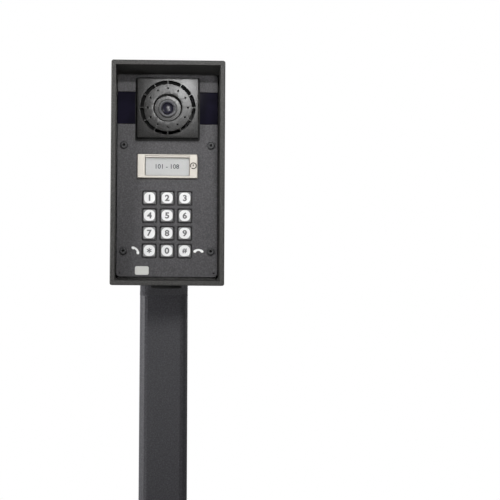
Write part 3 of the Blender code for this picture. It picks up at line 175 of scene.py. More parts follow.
# Camera and speaker block
BLOCK_FACE = 3.5 * MM
BLOCK_CORNER = 1.2 * MM
BLOCK_FOOT = 1 * MM
BLOCK_FOOT_HEIGHT = 1.2 * MM
BLOCK_WALL = 2.8 * MM
BLOCK_EASE = 0.5 * MM
WELL_RADIUS = 12.7 * MM
WELL_DEPTH = 7.2 * MM
WELL_MOUTH = ((0, 1.35 * MM), (0.12 * MM, 1.1 * MM), (1.08 * MM, 0.12 * MM), (1.35 * MM, 0))
SPIGOT_BORE = 9.5 * MM
TUBE_BOSS = 1.6 * MM
SLOT_COUNT = 12
SLOT_INNER = 23.5 * MM
SLOT_OUTER = 26.6 * MM
SLOT_BRIDGE = 1.4 * MM
SLOT_EASE = 0.3 * MM
# Depth, and reach inside and outside the slot ring, of the painted shade on the block's slot and
# hole walls
SLOT_DARK = 0.05 * MM
SLOT_DARK_IN = 6 * MM
SLOT_DARK_OUT = 0.5 * MM
DOT_RING = 19.3 * MM
DOT_HOLE = 1.6 * MM
DOT_EASE = 0.2 * MM
# Rubber seal round the block, whose dark band is partly painted shade for the shadow gap round the
# block
SEAL_REACH = 1.6 * MM
SEAL_THICK = 0.5 * MM
SEAL_CORNER = 1.8 * MM

# Camera barrel and light ring
BARREL_RADIUS = 9.0 * MM
BARREL_ROUND = 0.7 * MM
BARREL_LENGTH = 5.1 * MM
BARREL_FLANGE = 1.0 * MM
BARREL_FOOT = ((1.25 * MM, 0.25 * MM), (1.6 * MM, 0))
SPIGOT_RADIUS = 9.2 * MM
RING_BORE = 5.9 * MM
RING_RIM = 0.5 * MM
RING_GAP = 0.15 * MM
RING_LIP = 0.25 * MM
LENS_GAP = 0.2 * MM
LENS_LIFT = 0.05 * MM

# Print on the keys and the panel, with places as (x, z)
PRINT_THICK = 0.05 * MM
PRINT_LIFT = 0.01 * MM
DIGIT_HEIGHT = 6.1 * MM
HASH_HEIGHT = 4.8 * MM
STAR_REACH = 2.5 * MM
STAR_ROOT = 1.0 * MM
KEY_SIGNS = {f"key_{digit}": str(digit) for digit in range(10)}
KEY_SIGNS.update({"key_star": "*", "key_hash": "#"})
HANDSET = (8.6 * MM, 2.6 * MM, 1.9 * MM, 2.6 * MM)
HANG_UP_PLACE = (30.3 * MM, 1.0168)
ANSWER_PLACE = (-29.8 * MM, 1.0172)
ANSWER_TURN = math.radians(-46)
BADGE_PLACE = (-23.9 * MM, 0.9972)
BADGE_SIZE = (13.2 * MM, 8.4 * MM)
BADGE_CORNER = 1.8 * MM
BADGE_THICK = 0.45 * MM
BADGE_EASE = 0.15 * MM

# Label and call mark of the call button, with the mark's place from the button's middle
LABEL_NUMBER_HEIGHT = 4.5 * MM
LABEL_LIP = 1.1 * MM
LABEL_LIP_THICK = 0.15 * MM
LABEL_LIP_CORNER = 0.2 * MM
# Width of the painted shadow under the label's lip, a third of it down the sides
LABEL_SHADOW_WIDTH = 0.9 * MM
MARK_PLACE = (25.1 * MM, 0.4 * MM)
MARK_RADIUS = 2.8 * MM
MARK_WIDTH = 1.05 * MM
MARK_ARC = (215, -130)
MARK_BAR = (1.0 * MM, 2.3 * MM)
MARK_BAR_CORNER = 0.4 * MM
MARK_BAR_SHIFT = (-0.2 * MM, 0.4 * MM)

# Points of an outline where no other number is given
FINE = 96


# Materials


def feed(tree, node, sockets):
    """Gives each socket a constant or another node's output."""
    for socket, value in sockets.items():
        if isinstance(value, bpy.types.NodeSocket):
            tree.links.new(value, node.inputs[socket])
        else:
            node.inputs[socket].default_value = value


def add_node(tree, kind, sockets=None, **settings):
    node = tree.nodes.new("ShaderNode" + kind)
    for name, value in settings.items():
        setattr(node, name, value)
    feed(tree, node, sockets or {})
    return node


def map_range(tree, value, start, end, low, high, **settings):
    sockets = {"Value": value, "From Min": start, "From Max": end, "To Min": low, "To Max": high}
    return add_node(tree, "MapRange", sockets, **settings).outputs["Result"]


def math_node(tree, operation, first, second, **settings):
    node = add_node(tree, "Math", {0: first, 1: second}, operation=operation, **settings)
    return node.outputs["Value"]


def feed_shader(material, sockets):
    tree = material.node_tree
    feed(tree, tree.nodes["Principled BSDF"], sockets)


def shader_material(name, colour, roughness, **sockets):
    """A Principled material with constants set on its own sockets."""
    material = bpy.data.materials.new(name)
    material.use_nodes = True
    feed_shader(material, {"Base Color": (*colour, 1.0), "Roughness": roughness})
    feed_shader(material, {name.replace("_", " "): value for name, value in sockets.items()})
    return material


def object_noise(material, scale, detail=2.0, stretch=(1, 1, 1)):
    """Noise in the object's own metres, so the grain keeps its real size."""
    tree = material.node_tree
    place = add_node(tree, "TexCoord")
    mapping = add_node(tree, "Mapping", {"Vector": place.outputs["Object"], "Scale": stretch})
    sockets = {"Vector": mapping.outputs["Vector"], "Scale": scale, "Detail": detail}
    return add_node(tree, "TexNoise", sockets).outputs["Fac"]


def tint(material, factor, colour, *stops):
    """Runs the base colour through (position, brightness) stops."""
    ramp = add_node(material.node_tree, "ValToRGB", {"Fac": factor})
    elements = ramp.color_ramp.elements
    while len(elements) < len(stops):
        elements.new(0.5)
    for element, (position, brightness) in zip(elements, stops):
        element.position = position
        element.color = (*(channel * brightness for channel in colour), 1.0)
    feed_shader(material, {"Base Color": ramp.outputs["Color"]})


def roughen(material, factor, low, high):
    """Spreads the roughness between two values with the middle of a noise."""
    spread = map_range(material.node_tree, factor, 0.3, 0.7, low, high)
    feed_shader(material, {"Roughness": spread})


def add_bump(material, height, depth):
    sockets = {"Strength": 1.0, "Distance": depth, "Height": height}
    bump = add_node(material.node_tree, "Bump", sockets)
    feed_shader(material, {"Normal": bump.outputs["Normal"]})


def powder_coat(name, colour, roughness, specular=0.2, grain=900.0, depth=0.06 * MM, fleck=0.22):
    """Baked powder paint: a fine pebbled skin with lighter and darker flecks."""
    material = shader_material(name, colour, roughness, Specular_IOR_Level=specular)
    flecks = object_noise(material, grain * 0.8, 3.0)
    tint(material, flecks, colour, (0.36, 1 - fleck), (0.52, 1), (0.70, 1 + 1.6 * fleck))
    roughen(material, object_noise(material, 60.0), roughness - 0.02, roughness + 0.02)
    add_bump(material, object_noise(material, grain), depth)
    return material


def moulded_plastic(name, colour, roughness, specular=0.5, coat=0.0):
    """Injection-moulded plastic: an even colour with a fine matt texture."""
    material = shader_material(name, colour, roughness, Specular_IOR_Level=specular,
                               Coat_Weight=coat)
    if coat:
        feed_shader(material, {"Coat Roughness": 0.2})
    tint(material, object_noise(material, 180.0), colour, (0.35, 0.96), (0.65, 1))
    add_bump(material, object_noise(material, 2600.0, 1.0), 0.012 * MM)
    return material


def brushed_metal(name, colour, roughness, stretch):
    """Metal with fine brush lines along one axis, which stretch squeezes."""
    material = shader_material(name, colour, roughness, Metallic=1.0)
    lines = object_noise(material, 2400.0, 3.0, stretch)
    tint(material, lines, colour, (0.3, 0.9), (0.7, 1))
    roughen(material, lines, roughness - 0.06, roughness + 0.08)
    add_bump(material, lines, 0.008 * MM)
    return material


def steel_finish(name, colour, roughness):
    """Plated steel with faint uneven tarnish."""
    material = shader_material(name, colour, roughness, Metallic=1.0)
    tarnish = object_noise(material, 320.0, 4.0)
    tint(material, tarnish, colour, (0.32, 0.8), (0.6, 1))
    roughen(material, tarnish, roughness + 0.12, roughness)
    add_bump(material, object_noise(material, 3000.0, 1.0), 0.004 * MM)
    return material


def rubber_finish(name, colour):
    """Matt rubber with a faint lighter bloom."""
    material = shader_material(name, colour, 0.75, Specular_IOR_Level=0.25)
    tint(material, object_noise(material, 500.0, 3.0), colour, (0.35, 1), (0.75, 1.5))
    add_bump(material, object_noise(material, 2200.0, 1.0), 0.02 * MM)
    return material


def smoked_glass(name, colour, roughness, specular):
    """Dark glossy window with a barely uneven surface."""
    material = shader_material(name, colour, roughness, Specular_IOR_Level=specular)
    tint(material, object_noise(material, 60.0, 1.0), colour, (0.35, 0.7), (0.7, 1.3))
    add_bump(material, object_noise(material, 120.0, 0.0), 0.004 * MM)
    return material


def paper(name, colour):
    """Card with faint fibres."""
    material = shader_material(name, colour, 0.8, Specular_IOR_Level=0.2)
    fibre = object_noise(material, 1400.0, 4.0)
    tint(material, fibre, colour, (0.3, 0.95), (0.7, 1))
    add_bump(material, fibre, 0.01 * MM)
    return material


def clear_plastic(name, colour):
    """Thin clear sheet, barely rippled."""
    material = shader_material(name, colour, 0.06, Transmission_Weight=1.0, IOR=1.05)
    add_bump(material, object_noise(material, 90.0, 0.0), 0.01 * MM)
    return material


def circuit_board(name, colour):
    """Green lacquer with a faint run of copper tracks under it."""
    material = shader_material(name, colour, 0.4)
    tree = material.node_tree
    sockets = {"Vector": add_node(tree, "TexCoord").outputs["Object"], "Scale": 260.0}
    wave = add_node(tree, "TexWave", sockets, wave_type="BANDS", bands_direction="DIAGONAL")
    tint(material, wave.outputs["Fac"], colour, (0.45, 1), (0.55, 1.6))
    add_bump(material, wave.outputs["Fac"], 0.02 * MM)
    return material


def ink(name, colour):
    """Printed or filled marks: an even colour, slightly uneven in cover."""
    material = shader_material(name, colour, 0.5, Specular_IOR_Level=0.3)
    tint(material, object_noise(material, 2500.0, 1.0), colour, (0.3, 1.15), (0.6, 1))
    return material


FINISHES = {
    "post_paint": (powder_coat, (0.055, 0.054, 0.060), 0.38),
    # A little lighter than the post's paint, which stands in for part of the brighter light on the
    # head: painted light
    "head_paint": (powder_coat, (0.064, 0.063, 0.061), 0.5, 0.12),
    "panel_paint": (powder_coat, (0.070, 0.068, 0.072), 0.5),
    "block_paint": (powder_coat, (0.012, 0.0115, 0.011), 0.215, 0.14, 1100.0, 0.035 * MM, 0.5),
    "steel": (steel_finish, (0.56, 0.55, 0.53), 0.28),
    "screw_paint": (powder_coat, (0.05, 0.05, 0.052), 0.45, 0.2, 1400.0, 0.03 * MM),
    "satin_metal": (brushed_metal, (0.50, 0.475, 0.435), 0.6, (0.04, 1, 1)),
    "rubber": (rubber_finish, (0.014, 0.014, 0.014)),
    "key_plastic": (moulded_plastic, (0.80, 0.80, 0.80), 0.32, 0.5, 0.15),
    # Painted shade: a grey copy of the key plastic on the keys' sloping shoulders and sides
    "key_skirt": (moulded_plastic, (0.25, 0.25, 0.255), 0.4),
    # Painted shade: a darker copy of the panel's paint on the walls and floors of the key pockets
    "pocket_paint": (powder_coat, (0.030, 0.029, 0.030), 0.6),
    # Painted shade: near-black on the walls of the block's slots and holes and in the screw
    # sockets
    "slot_black": (moulded_plastic, (0.006, 0.006, 0.006), 0.8, 0.1),
    "smoked_plastic": (smoked_glass, (0.006, 0.005, 0.013), 0.06, 0.12),
    "lens_glass": (smoked_glass, (0.007, 0.006, 0.018), 0.27, 0.26),
    "lens_metal": (moulded_plastic, (0.016, 0.016, 0.016), 0.45),
    "light_ring": (brushed_metal, (0.11, 0.11, 0.12), 0.38, (1, 1, 1)),
    "card": (paper, (0.655, 0.66, 0.655)),
    "clear_plastic": (clear_plastic, (1.0, 1.0, 1.0)),
    "board": (circuit_board, (0.02, 0.12, 0.05)),
    "black_plastic": (moulded_plastic, (0.012, 0.012, 0.012), 0.45),
    "plug_rubber": (moulded_plastic, (0.03, 0.03, 0.03), 0.8, 0.1),
    "digit_ink": (ink, (0.13, 0.13, 0.135)),
    "label_ink": (ink, (0.09, 0.095, 0.11)),
    "white_ink": (ink, (0.82, 0.82, 0.81)),
    "badge": (paper, (0.66, 0.66, 0.63)),
    # Painted shadow: a dark line under the label's lip and along its sides
    "label_edge": (ink, (0.12, 0.11, 0.10)),
    "mark": (ink, (0.035, 0.026, 0.02)),
}
materials = {name: make(name, *values) for name, (make, *values) in FINISHES.items()}
for name, (_, colour, *_) in FINISHES.items():
    materials[name].diffuse_color = (*colour, 1.0)


# Meshes


def link_object(name, data):
    thing = bpy.data.objects.new(name, data)
    bpy.context.scene.collection.objects.link(thing)
    return thing


def add_piece(name, bm, finish, body="post", angle=35, second=None, flats=False):
    """Makes a mesh object that rides on a body.

    second is the finish of the faces whose material index is 1. flats keeps large flat faces
    evenly lit beside rounded edges.
    """
    bmesh.ops.recalc_face_normals(bm, faces=bm.faces)
    mesh = bpy.data.meshes.new(name)
    bm.to_mesh(mesh)
    bm.free()
    mesh.materials.append(materials[finish])
    if second:
        mesh.materials.append(materials[second])
    mesh.shade_smooth()
    mesh.set_sharp_from_angle(angle=math.radians(angle))
    piece = link_object(name, mesh)
    if flats:
        weights = piece.modifiers.new("flat_faces", "WEIGHTED_NORMAL")
        weights.keep_sharp = True
        weights.weight = 90
    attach(piece, body)
    return piece


def add_rings(bm, rings):
    return [[bm.verts.new(point) for point in ring] for ring in rings]


def bridge(bm, ring, other):
    count = len(ring)
    for index in range(count):
        after = (index + 1) % count
        bm.faces.new((ring[index], ring[after], other[after], other[index]))


def loft_bmesh(rings, closed=False):
    """A solid through rings of equal length: capped, or with its last ring joined to the first."""
    bm = bmesh.new()
    rings = add_rings(bm, rings)
    for ring, other in zip(rings, rings[1:]):
        bridge(bm, ring, other)
    if closed:
        bridge(bm, rings[-1], rings[0])
    else:
        bm.faces.new(rings[0])
        bm.faces.new(rings[-1])
    return bm


def direction(angle):
    return Vector((math.cos(angle), math.sin(angle)))


def quarter_turn(steps, first=0):
    """Angles from 0 to 90 degrees, from the step that is given first."""
    return [RIGHT_ANGLE * step / steps for step in range(first, steps + 1)]


def round_outline(reach, count=FINE):
    """Outline round (0, 0) whose reach depends on the angle."""
    angles = [math.tau * (index + 0.5) / count for index in range(count)]
    return [reach(angle) * direction(angle) for angle in angles]


def circle(radius, count=FINE):
    return round_outline(lambda angle: radius, count)


def hexagon_reach(angle, half_width):
    """How far a hexagon reaches at an angle, from half its width across flats."""
    sixth = math.radians(60)
    return half_width / math.cos((angle + sixth / 2) % sixth - sixth / 2)


def rounded_rectangle(width, height, radius, count=FINE):
    """Outline round (0, 0) with a quarter of its points on each corner."""
    points = []
    for corner, (side, rise) in enumerate(((1, 1), (-1, 1), (-1, -1), (1, -1))):
        centre = Vector((side * (width / 2 - radius), rise * (height / 2 - radius)))
        for angle in quarter_turn(count // 4 - 1):
            points.append(centre + radius * direction(RIGHT_ANGLE * corner + angle))
    return points


def facing(outline, y, centre):
    """An outline stood up to face the front at y, round an (x, z) centre."""
    return [Vector((centre[0] + point.x, y, centre[1] + point.y)) for point in outline]


def stood(rings, centre=(0.0, 0.0)):
    return [facing(outline, y, centre) for y, outline in rings]


def turned(profile, centre, count=FINE):
    """Rings of a piece turned about an axis along Y, from (y, radius) pairs."""
    return [facing(circle(radius, count), y, centre) for y, radius in profile]


def middle_of(node):
    """A node's low and high corners and its (x, z) centre."""
    low, high = (Vector(corner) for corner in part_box(node))
    return low, high, ((low.x + high.x) / 2, (low.z + high.z) / 2)


def size_of(node):
    """A node's width and height."""
    low, high, _ = middle_of(node)
    return high.x - low.x, high.z - low.z


def eased(outline, front, ease, out=1):
    """(y, outline) pairs of a rounded edge between a flat front and a wall.

    outline takes how far the shape grows. A hole opens out towards the front, and an outer edge,
    with out -1, draws in.
    """
    return [(front + ease * (1 - math.cos(angle)), outline(out * ease * (1 - math.sin(angle))))
            for angle in quarter_turn(3)]


def rectangle(width, height, radius, count=48):
    """A rounded rectangle whose outline takes how far it grows."""
    def outline(growth):
        corner = max(radius + growth, TOLERANCE)
        return rounded_rectangle(width + 2 * growth, height + 2 * growth, corner, count)
    return outline


def round_hole(radius, count=64):
    return lambda growth: circle(radius + growth, count)


def fill_between(bm, loops):
    """Flat triangles between an outer loop and the loops inside it."""
    edges = []
    for loop in loops:
        for vertex, after in zip(loop, loop[1:] + loop[:1]):
            edges.append(bm.edges.get((vertex, after)))
    bmesh.ops.triangle_fill(bm, edges=edges, use_beauty=True, use_dissolve=False)


def pierced(outer, tunnels=(), pits=(), studs=()):
    """A solid with a flat front and back, given as runs of rings from front to back.

    Tunnels go through it, pits end in a floor, and studs stand on its back and end in a cap.
    """
    bm = bmesh.new()
    fronts, backs = [], []
    for kind, runs in (("tunnel", [outer, *tunnels]), ("pit", pits), ("stud", studs)):
        for rings in runs:
            rings = add_rings(bm, rings)
            for ring, other in zip(rings, rings[1:]):
                bridge(bm, ring, other)
            if kind != "stud":
                fronts.append(rings[0])
            if kind == "tunnel":
                backs.append(rings[-1])
            if kind == "stud":
                backs.append(rings[0])
            if kind != "tunnel":
                bm.faces.new(rings[-1])
    fill_between(bm, fronts)
    fill_between(bm, backs)
    return bm


# Post


def frame_axis_y():
    _, high, _ = middle_of("upright_tube")
    return high.y - TUBE_SIDE / 2


def neck_corners():
    """The mitres at the knee and the elbow, as (under side, upper side) points."""
    half = TUBE_SIDE / 2
    drop = NECK_DEPTH / math.cos(NECK_SLOPE)
    knee_high = Vector((-half, KNEE_HEIGHT))
    knee_low = Vector((half, KNEE_HEIGHT + TUBE_SIDE * math.tan(NECK_SLOPE) - drop))
    arm_low = ARM_TOP - NECK_DEPTH
    elbow_high = Vector((-half + (ARM_TOP - KNEE_HEIGHT) / math.tan(NECK_SLOPE), ARM_TOP))
    elbow_low = Vector((half + (arm_low - knee_low.y) / math.tan(NECK_SLOPE), arm_low))
    return (knee_low, knee_high), (elbow_low, elbow_high)


def make_seam(name, mitre, before, after):
    """The dressed weld over a mitre: a low band that lies on both tubes."""
    low, high = mitre
    span = high - low
    axis_y = frame_axis_y()
    rings = []
    stations = [(-1, -1.4), (-1, 0.05), (-0.6, 0.7), (0, 1.0), (0.6, 0.7), (1, 0.05), (1, -1.4)]
    for along, proud in stations:
        shift = (after if along > 0 else -before) * abs(along) * SEAM_HALF_WIDTH
        out = proud * SEAM_PROUD
        ring = []
        for point in rectangle(TUBE_SIDE, NECK_DEPTH, TUBE_CORNER)(out):
            place = low + span * (0.5 + point.y / NECK_DEPTH) + shift
            ring.append(Vector((point.x, axis_y - place.x, place.y)))
        rings.append(ring)
    add_piece(name, loft_bmesh(rings, closed=True), "post_paint")


def make_seams():
    knee, elbow = neck_corners()
    up, slope, forward = (direction(angle) for angle in (RIGHT_ANGLE, NECK_SLOPE, 0.0))
    make_seam("knee_seam", knee, up, slope)
    make_seam("elbow_seam", elbow, slope, forward)


def rounded_path(side, radius, spacing):
    """Places along a rounded square, each with its outward direction and its run so far."""
    straight = side - 2 * radius
    quarter = straight + radius * math.pi / 2
    count = int(round(4 * quarter / spacing))
    stations = []
    for index in range(count):
        run = 4 * quarter * index / count
        turn, rest = divmod(run, quarter)
        if rest < straight:
            place = Vector((side / 2, rest - straight / 2))
            out = Vector((1, 0))
        else:
            out = direction((rest - straight) / radius)
            place = Vector((side / 2 - radius, straight / 2)) + radius * out
        rotation = Matrix.Rotation(turn * math.pi / 2, 2)
        stations.append((rotation @ place, rotation @ out, run))
    return stations


def make_foot_bead():
    """The fillet weld round the upright's foot, with the ripples of its passes."""
    low, _, _ = middle_of("foot_weld")
    axis = Vector((0.0, frame_axis_y()))
    rings = []
    for place, out, run in rounded_path(BEAD_SIDE, TUBE_CORNER, BEAD_SPACING):
        phase = run / BEAD_PITCH % 1.0
        drift = 0.25 * math.sin(run * 190.0) + 0.2 * math.sin(run * 83.0 + 1.3)
        leg = BEAD_LEG - BEAD_RIPPLE * (1.0 - math.sqrt(phase)) - BEAD_RIPPLE * 0.5 * abs(drift)
        ring = [Vector((*(axis + place), low.z))]
        for angle in quarter_turn(8):
            chord = leg * (0.80 + 0.20 * abs(math.cos(2 * angle)))
            spot = axis + place + out * chord * math.cos(angle)
            ring.append(Vector((*spot, low.z + chord * math.sin(angle))))
        rings.append(ring)
    piece = add_piece("foot_bead", loft_bmesh(rings, closed=True), "post_paint", angle=50)
    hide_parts("foot_weld")


def make_base_plate():
    """Floor plate with round holes and eased edges."""
    low, high, _ = middle_of("base_plate")
    side, thick = high.x - low.x, high.z - low.z
    middle = Vector(((low.x + high.x) / 2, (low.y + high.y) / 2))

    def laid(edge, place):
        """An edge and its mirror image below, laid flat round a place, from (depth, outline)."""
        under = [(thick - depth, outline) for depth, outline in reversed(edge)]
        return [[Vector((place.x + point.x, place.y + point.y, high.z - depth))
                 for point in outline] for depth, outline in edge + under]

    half = ANCHOR_SPACING / 2
    holes = [(Vector((0.0, 0.0)), FLOOR_CABLE_HOLE / 2)]
    holes += [(Vector((x, y)), ANCHOR_HOLE / 2) for x in (-half, half) for y in (-half, half)]
    tunnels = [laid(eased(round_hole(radius), 0.0, FLOOR_HOLE_EASE), middle + place)
               for place, radius in holes]
    rim = eased(rectangle(side, side, FLOOR_PLATE_CORNER, 96), 0.0, PLATE_EASE, -1)
    bm = pierced(laid(rim, middle), tunnels)
    plate = add_piece("eased_base_plate", bm, "post_paint", flats=True)
    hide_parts("base_plate")


def thread_ring(y, tip, taper, centre):
    """One ring of the stud's thread, which winds back from the tip."""
    def reach(angle):
        phase = ((y - tip) / THREAD_PITCH + angle / math.tau - 0.5 / STUD_POINTS) % 1.0
        depth = THREAD_DEPTH * (1 - abs(2 * phase - 1))
        return (STUD_RADIUS - depth) * (0.82 + 0.18 * taper)
    return facing(round_outline(reach, STUD_POINTS), y, centre)


def make_earth_stud():
    """Threaded stud, plain washer and chamfered nut."""
    low, high, centre = middle_of("earth_stud")
    washer_low, washer_high, _ = middle_of("earth_washer")
    nut_low, nut_high, _ = middle_of("earth_nut")
    head = (high.x - low.x) / 2
    head_front = high.y - STUD_HEAD
    root = STUD_RADIUS - THREAD_DEPTH / 2
    start_y = washer_high.y
    rings = turned([(high.y, head), (head_front, head), (head_front, root), (start_y, root)],
                   centre, STUD_POINTS)
    for step in range(1, STUD_STEPS + 1):
        y = start_y + (low.y - start_y) * step / STUD_STEPS
        taper = min(1.0, (STUD_STEPS - step) / STUD_TIP_STEPS)
        rings.append(thread_ring(y, low.y, taper, centre))
    stud = add_piece("threaded_stud", loft_bmesh(rings), "steel", angle=60)
    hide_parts("earth_stud")

    outer = (washer_high.x - washer_low.x) / 2
    bore = STUD_RADIUS + STUD_GAP
    profile = [
        (washer_high.y, bore), (washer_high.y, outer - WASHER_EASE),
        (washer_high.y - WASHER_EASE, outer), (washer_low.y + WASHER_EASE, outer),
        (washer_low.y, outer - WASHER_EASE), (washer_low.y, bore),
    ]
    bm = loft_bmesh(turned(profile, centre, 48), closed=True)
    washer = add_piece("plain_washer", bm, "steel")
    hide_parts("earth_washer")

    across = max(nut_high.z - nut_low.z, nut_high.x - nut_low.x) / 2
    flat = across * math.cos(math.radians(30))
    count = 72
    rings = [facing(circle(bore, count), nut_high.y, centre)]
    for y, share in ((nut_high.y, NUT_FACE), (nut_high.y - NUT_CHAMFER, 1.0),
                     (nut_low.y + NUT_CHAMFER, 1.0), (nut_low.y, NUT_FACE)):
        rim = across * share
        outline = round_outline(lambda angle: min(hexagon_reach(angle, flat), rim), count)
        rings.append(facing(outline, y, centre))
    rings.append(facing(circle(bore, count), nut_low.y, centre))
    nut = add_piece("chamfered_nut", loft_bmesh(rings, closed=True), "steel", angle=25)
    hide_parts("earth_nut")


# Head


def through(outline, front, back, place):
    """A plain tunnel from front to back."""
    return stood([(front, outline), (back, outline)], place)


def opening(outline, front, ease, back, place):
    """A tunnel or pit with an eased mouth, whose outline takes how far it grows."""
    return stood(eased(outline, front, ease) + [(back, outline(0))], place)


def make_mounting_plate():
    """Plate behind the head, with its cable hole and screw holes."""
    low, high, centre = middle_of("mounting_plate")
    outline = rectangle(*size_of("mounting_plate"), MOUNT_PLATE_CORNER, 64)
    rim = eased(outline, low.y, PLATE_EASE, -1)
    under = [(low.y + high.y - y, ring) for y, ring in reversed(rim)]
    cable = circle(NECK_CABLE_HOLE / 2, 64)
    tunnels = [through(cable, low.y, high.y, (centre[0], ARM_TOP - NECK_CABLE_DROP))]
    bore = circle(SCREW_HOLE / 2, 32)
    for number in range(1, 5):
        _, _, place = middle_of(f"housing_screw_{number}")
        tunnels.append(through(bore, low.y, high.y, place))
    bm = pierced(stood(rim + under, centre), tunnels)
    plate = add_piece("eased_mounting_plate", bm, "post_paint", flats=True)
    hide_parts("mounting_plate")


def make_housing():
    """The casting as it is, with the two edges of its front rim rounded."""
    low, high, _ = middle_of("housing")
    bm = bmesh.new()
    bm.from_mesh(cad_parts["housing"].data)
    bmesh.ops.remove_doubles(bm, verts=bm.verts, dist=0.002 * MM)
    places = [vertex.co for vertex in bm.verts]
    foot = min((place for place in places if place.z < low.z + RIM_FOOT),
               key=lambda place: place.y)
    crown = min((place for place in places if place.z > high.z - RIM_CROWN),
                key=lambda place: place.y)
    slope = (crown.y - foot.y) / (crown.z - foot.z)

    def on_rim(vertex):
        return abs(vertex.co.y - foot.y - slope * (vertex.co.z - foot.z)) < TOLERANCE

    edges = [edge for edge in bm.edges
             if on_rim(edge.verts[0]) and on_rim(edge.verts[1])
             and len(edge.link_faces) == 2 and edge.calc_face_angle(0.0) > math.radians(20)]
    bmesh.ops.bevel(bm, geom=edges, offset=RIM_EASE, offset_type="OFFSET", segments=3, profile=0.5,
                    affect="EDGES", clamp_overlap=False)
    piece = add_piece("eased_housing", bm, "head_paint", angle=40, flats=True)
    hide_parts("housing")


def notched_outline(low, high, window_low, window_high):
    """The front panel's outline with its two window notches, which takes how far it grows."""
    def outline(growth):
        radius = PANEL_CORNER + growth
        right, top, bottom = high.x + growth, high.z + growth, low.z - growth
        inner = -window_high.x - CLEARANCE + growth
        notch_top = window_high.z + CLEARANCE - growth
        notch_bottom = window_low.z - CLEARANCE + growth

        def corner(x, z, start):
            return [Vector((x + radius * math.cos(start + angle),
                            z + radius * math.sin(start + angle))) for angle in quarter_turn(8)]

        half = corner(right - radius, bottom + radius, -RIGHT_ANGLE)
        half += [Vector((right, notch_bottom)), Vector((inner, notch_bottom)),
                 Vector((inner, notch_top)), Vector((right, notch_top))]
        half += corner(right - radius, top - radius, 0.0)
        return half + [Vector((-point.x, point.y)) for point in reversed(half)]
    return outline


def make_front_panel():
    """The panel with its pockets and openings, their edges rounded, and painted shade in the key
    pockets.
    """
    low, high, _ = middle_of("front_panel")
    window_low, window_high, _ = middle_of("ir_window_left")
    front, back = low.y, low.y + PANEL_THICK
    outline = notched_outline(low, high, window_low, window_high)
    outer = stood(eased(outline, front, PANEL_EASE, -1) + [(back, outline(0))])

    _, _, centre = middle_of("camera_block")
    bore = circle(SPEAKER_HOLE / 2, 64)
    wall = circle(SPEAKER_HOLE / 2 + SPEAKER_WALL, 64)
    tunnels = [stood([(front, bore), (high.y, bore), (high.y, wall), (back, wall)], centre)]

    _, _, centre = middle_of("call_button")
    width, height = size_of("call_button")
    shrink = 2 * (BUTTON_FLANGE - BUTTON_GAP)
    hole = rectangle(width - shrink, height - shrink, BUTTON_HOLE_CORNER, 32)
    tunnels.append(opening(hole, front, PANEL_EASE, back, centre))

    pocket = rectangle(KEY_POCKET, KEY_POCKET, KEY_CORNER)
    bore_side = KEY_SIDE + 2 * KEY_SLIDE_GAP
    bore = rounded_rectangle(bore_side, bore_side, KEY_CORNER, 48)
    floor = front + KEY_POCKET_DEPTH
    for node in KEY_SIGNS:
        _, _, centre = middle_of(node)
        rings = eased(pocket, front, POCKET_EASE)
        tunnels.append(stood(rings + [(floor, pocket(0)), (floor, bore), (back, bore)], centre))

    small = circle(SCREW_HOLE / 2, 32)
    for number in range(1, 5):
        _, _, centre = middle_of(f"panel_screw_{number}")
        tunnels.append(through(small, front, back, centre))
    pinhole = round_hole(MICROPHONE_HOLE / 2, 24)
    for node in ("microphone_left", "microphone_right"):
        _, _, centre = middle_of(node)
        tunnels.append(opening(pinhole, front, MICROPHONE_EASE, back, centre))

    board_low, board_high, _ = middle_of("front_board")
    post = circle(BOARD_POST / 2, 24)
    studs = []
    for x in (board_low.x + BOARD_POST_INSET, board_high.x - BOARD_POST_INSET):
        for z in (board_low.z + BOARD_POST_INSET, board_high.z - BOARD_POST_INSET):
            studs.append(through(post, back, board_low.y - CLEARANCE, (x, z)))

    bm = pierced(outer, tunnels, studs=studs)
    # Painted shade: the deep faces of the key pockets take the darker pocket paint
    top_low, top_high, _ = middle_of("key_1")
    base_low, base_high, _ = middle_of("key_hash")
    for face in bm.faces:
        place = face.calc_center_median()
        deep = front + POCKET_EASE + TOLERANCE < place.y < back - TOLERANCE
        across = top_low.x - POCKET_MARGIN < place.x < base_high.x + POCKET_MARGIN
        if deep and across and base_low.z - POCKET_MARGIN < place.z < top_high.z + POCKET_MARGIN:
            face.material_index = 1
    piece = add_piece("eased_panel", bm, "panel_paint", second="pocket_paint", flats=True)
    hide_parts("front_panel")


def slot_outline(index):
    """One arc slot of the speaker ring, as an outline that takes how far it grows."""
    steps = 14
    middle = math.tau * (index + 0.5) / SLOT_COUNT

    def outline(growth):
        points = []
        for radius, order in ((SLOT_OUTER + growth, 1), (SLOT_INNER - growth, -1)):
            reach = math.pi / SLOT_COUNT - math.asin((SLOT_BRIDGE / 2 - growth) / radius)
            for step in range(steps + 1):
                points.append(radius * direction(middle + order * reach * (2 * step / steps - 1)))
        return points
    return outline


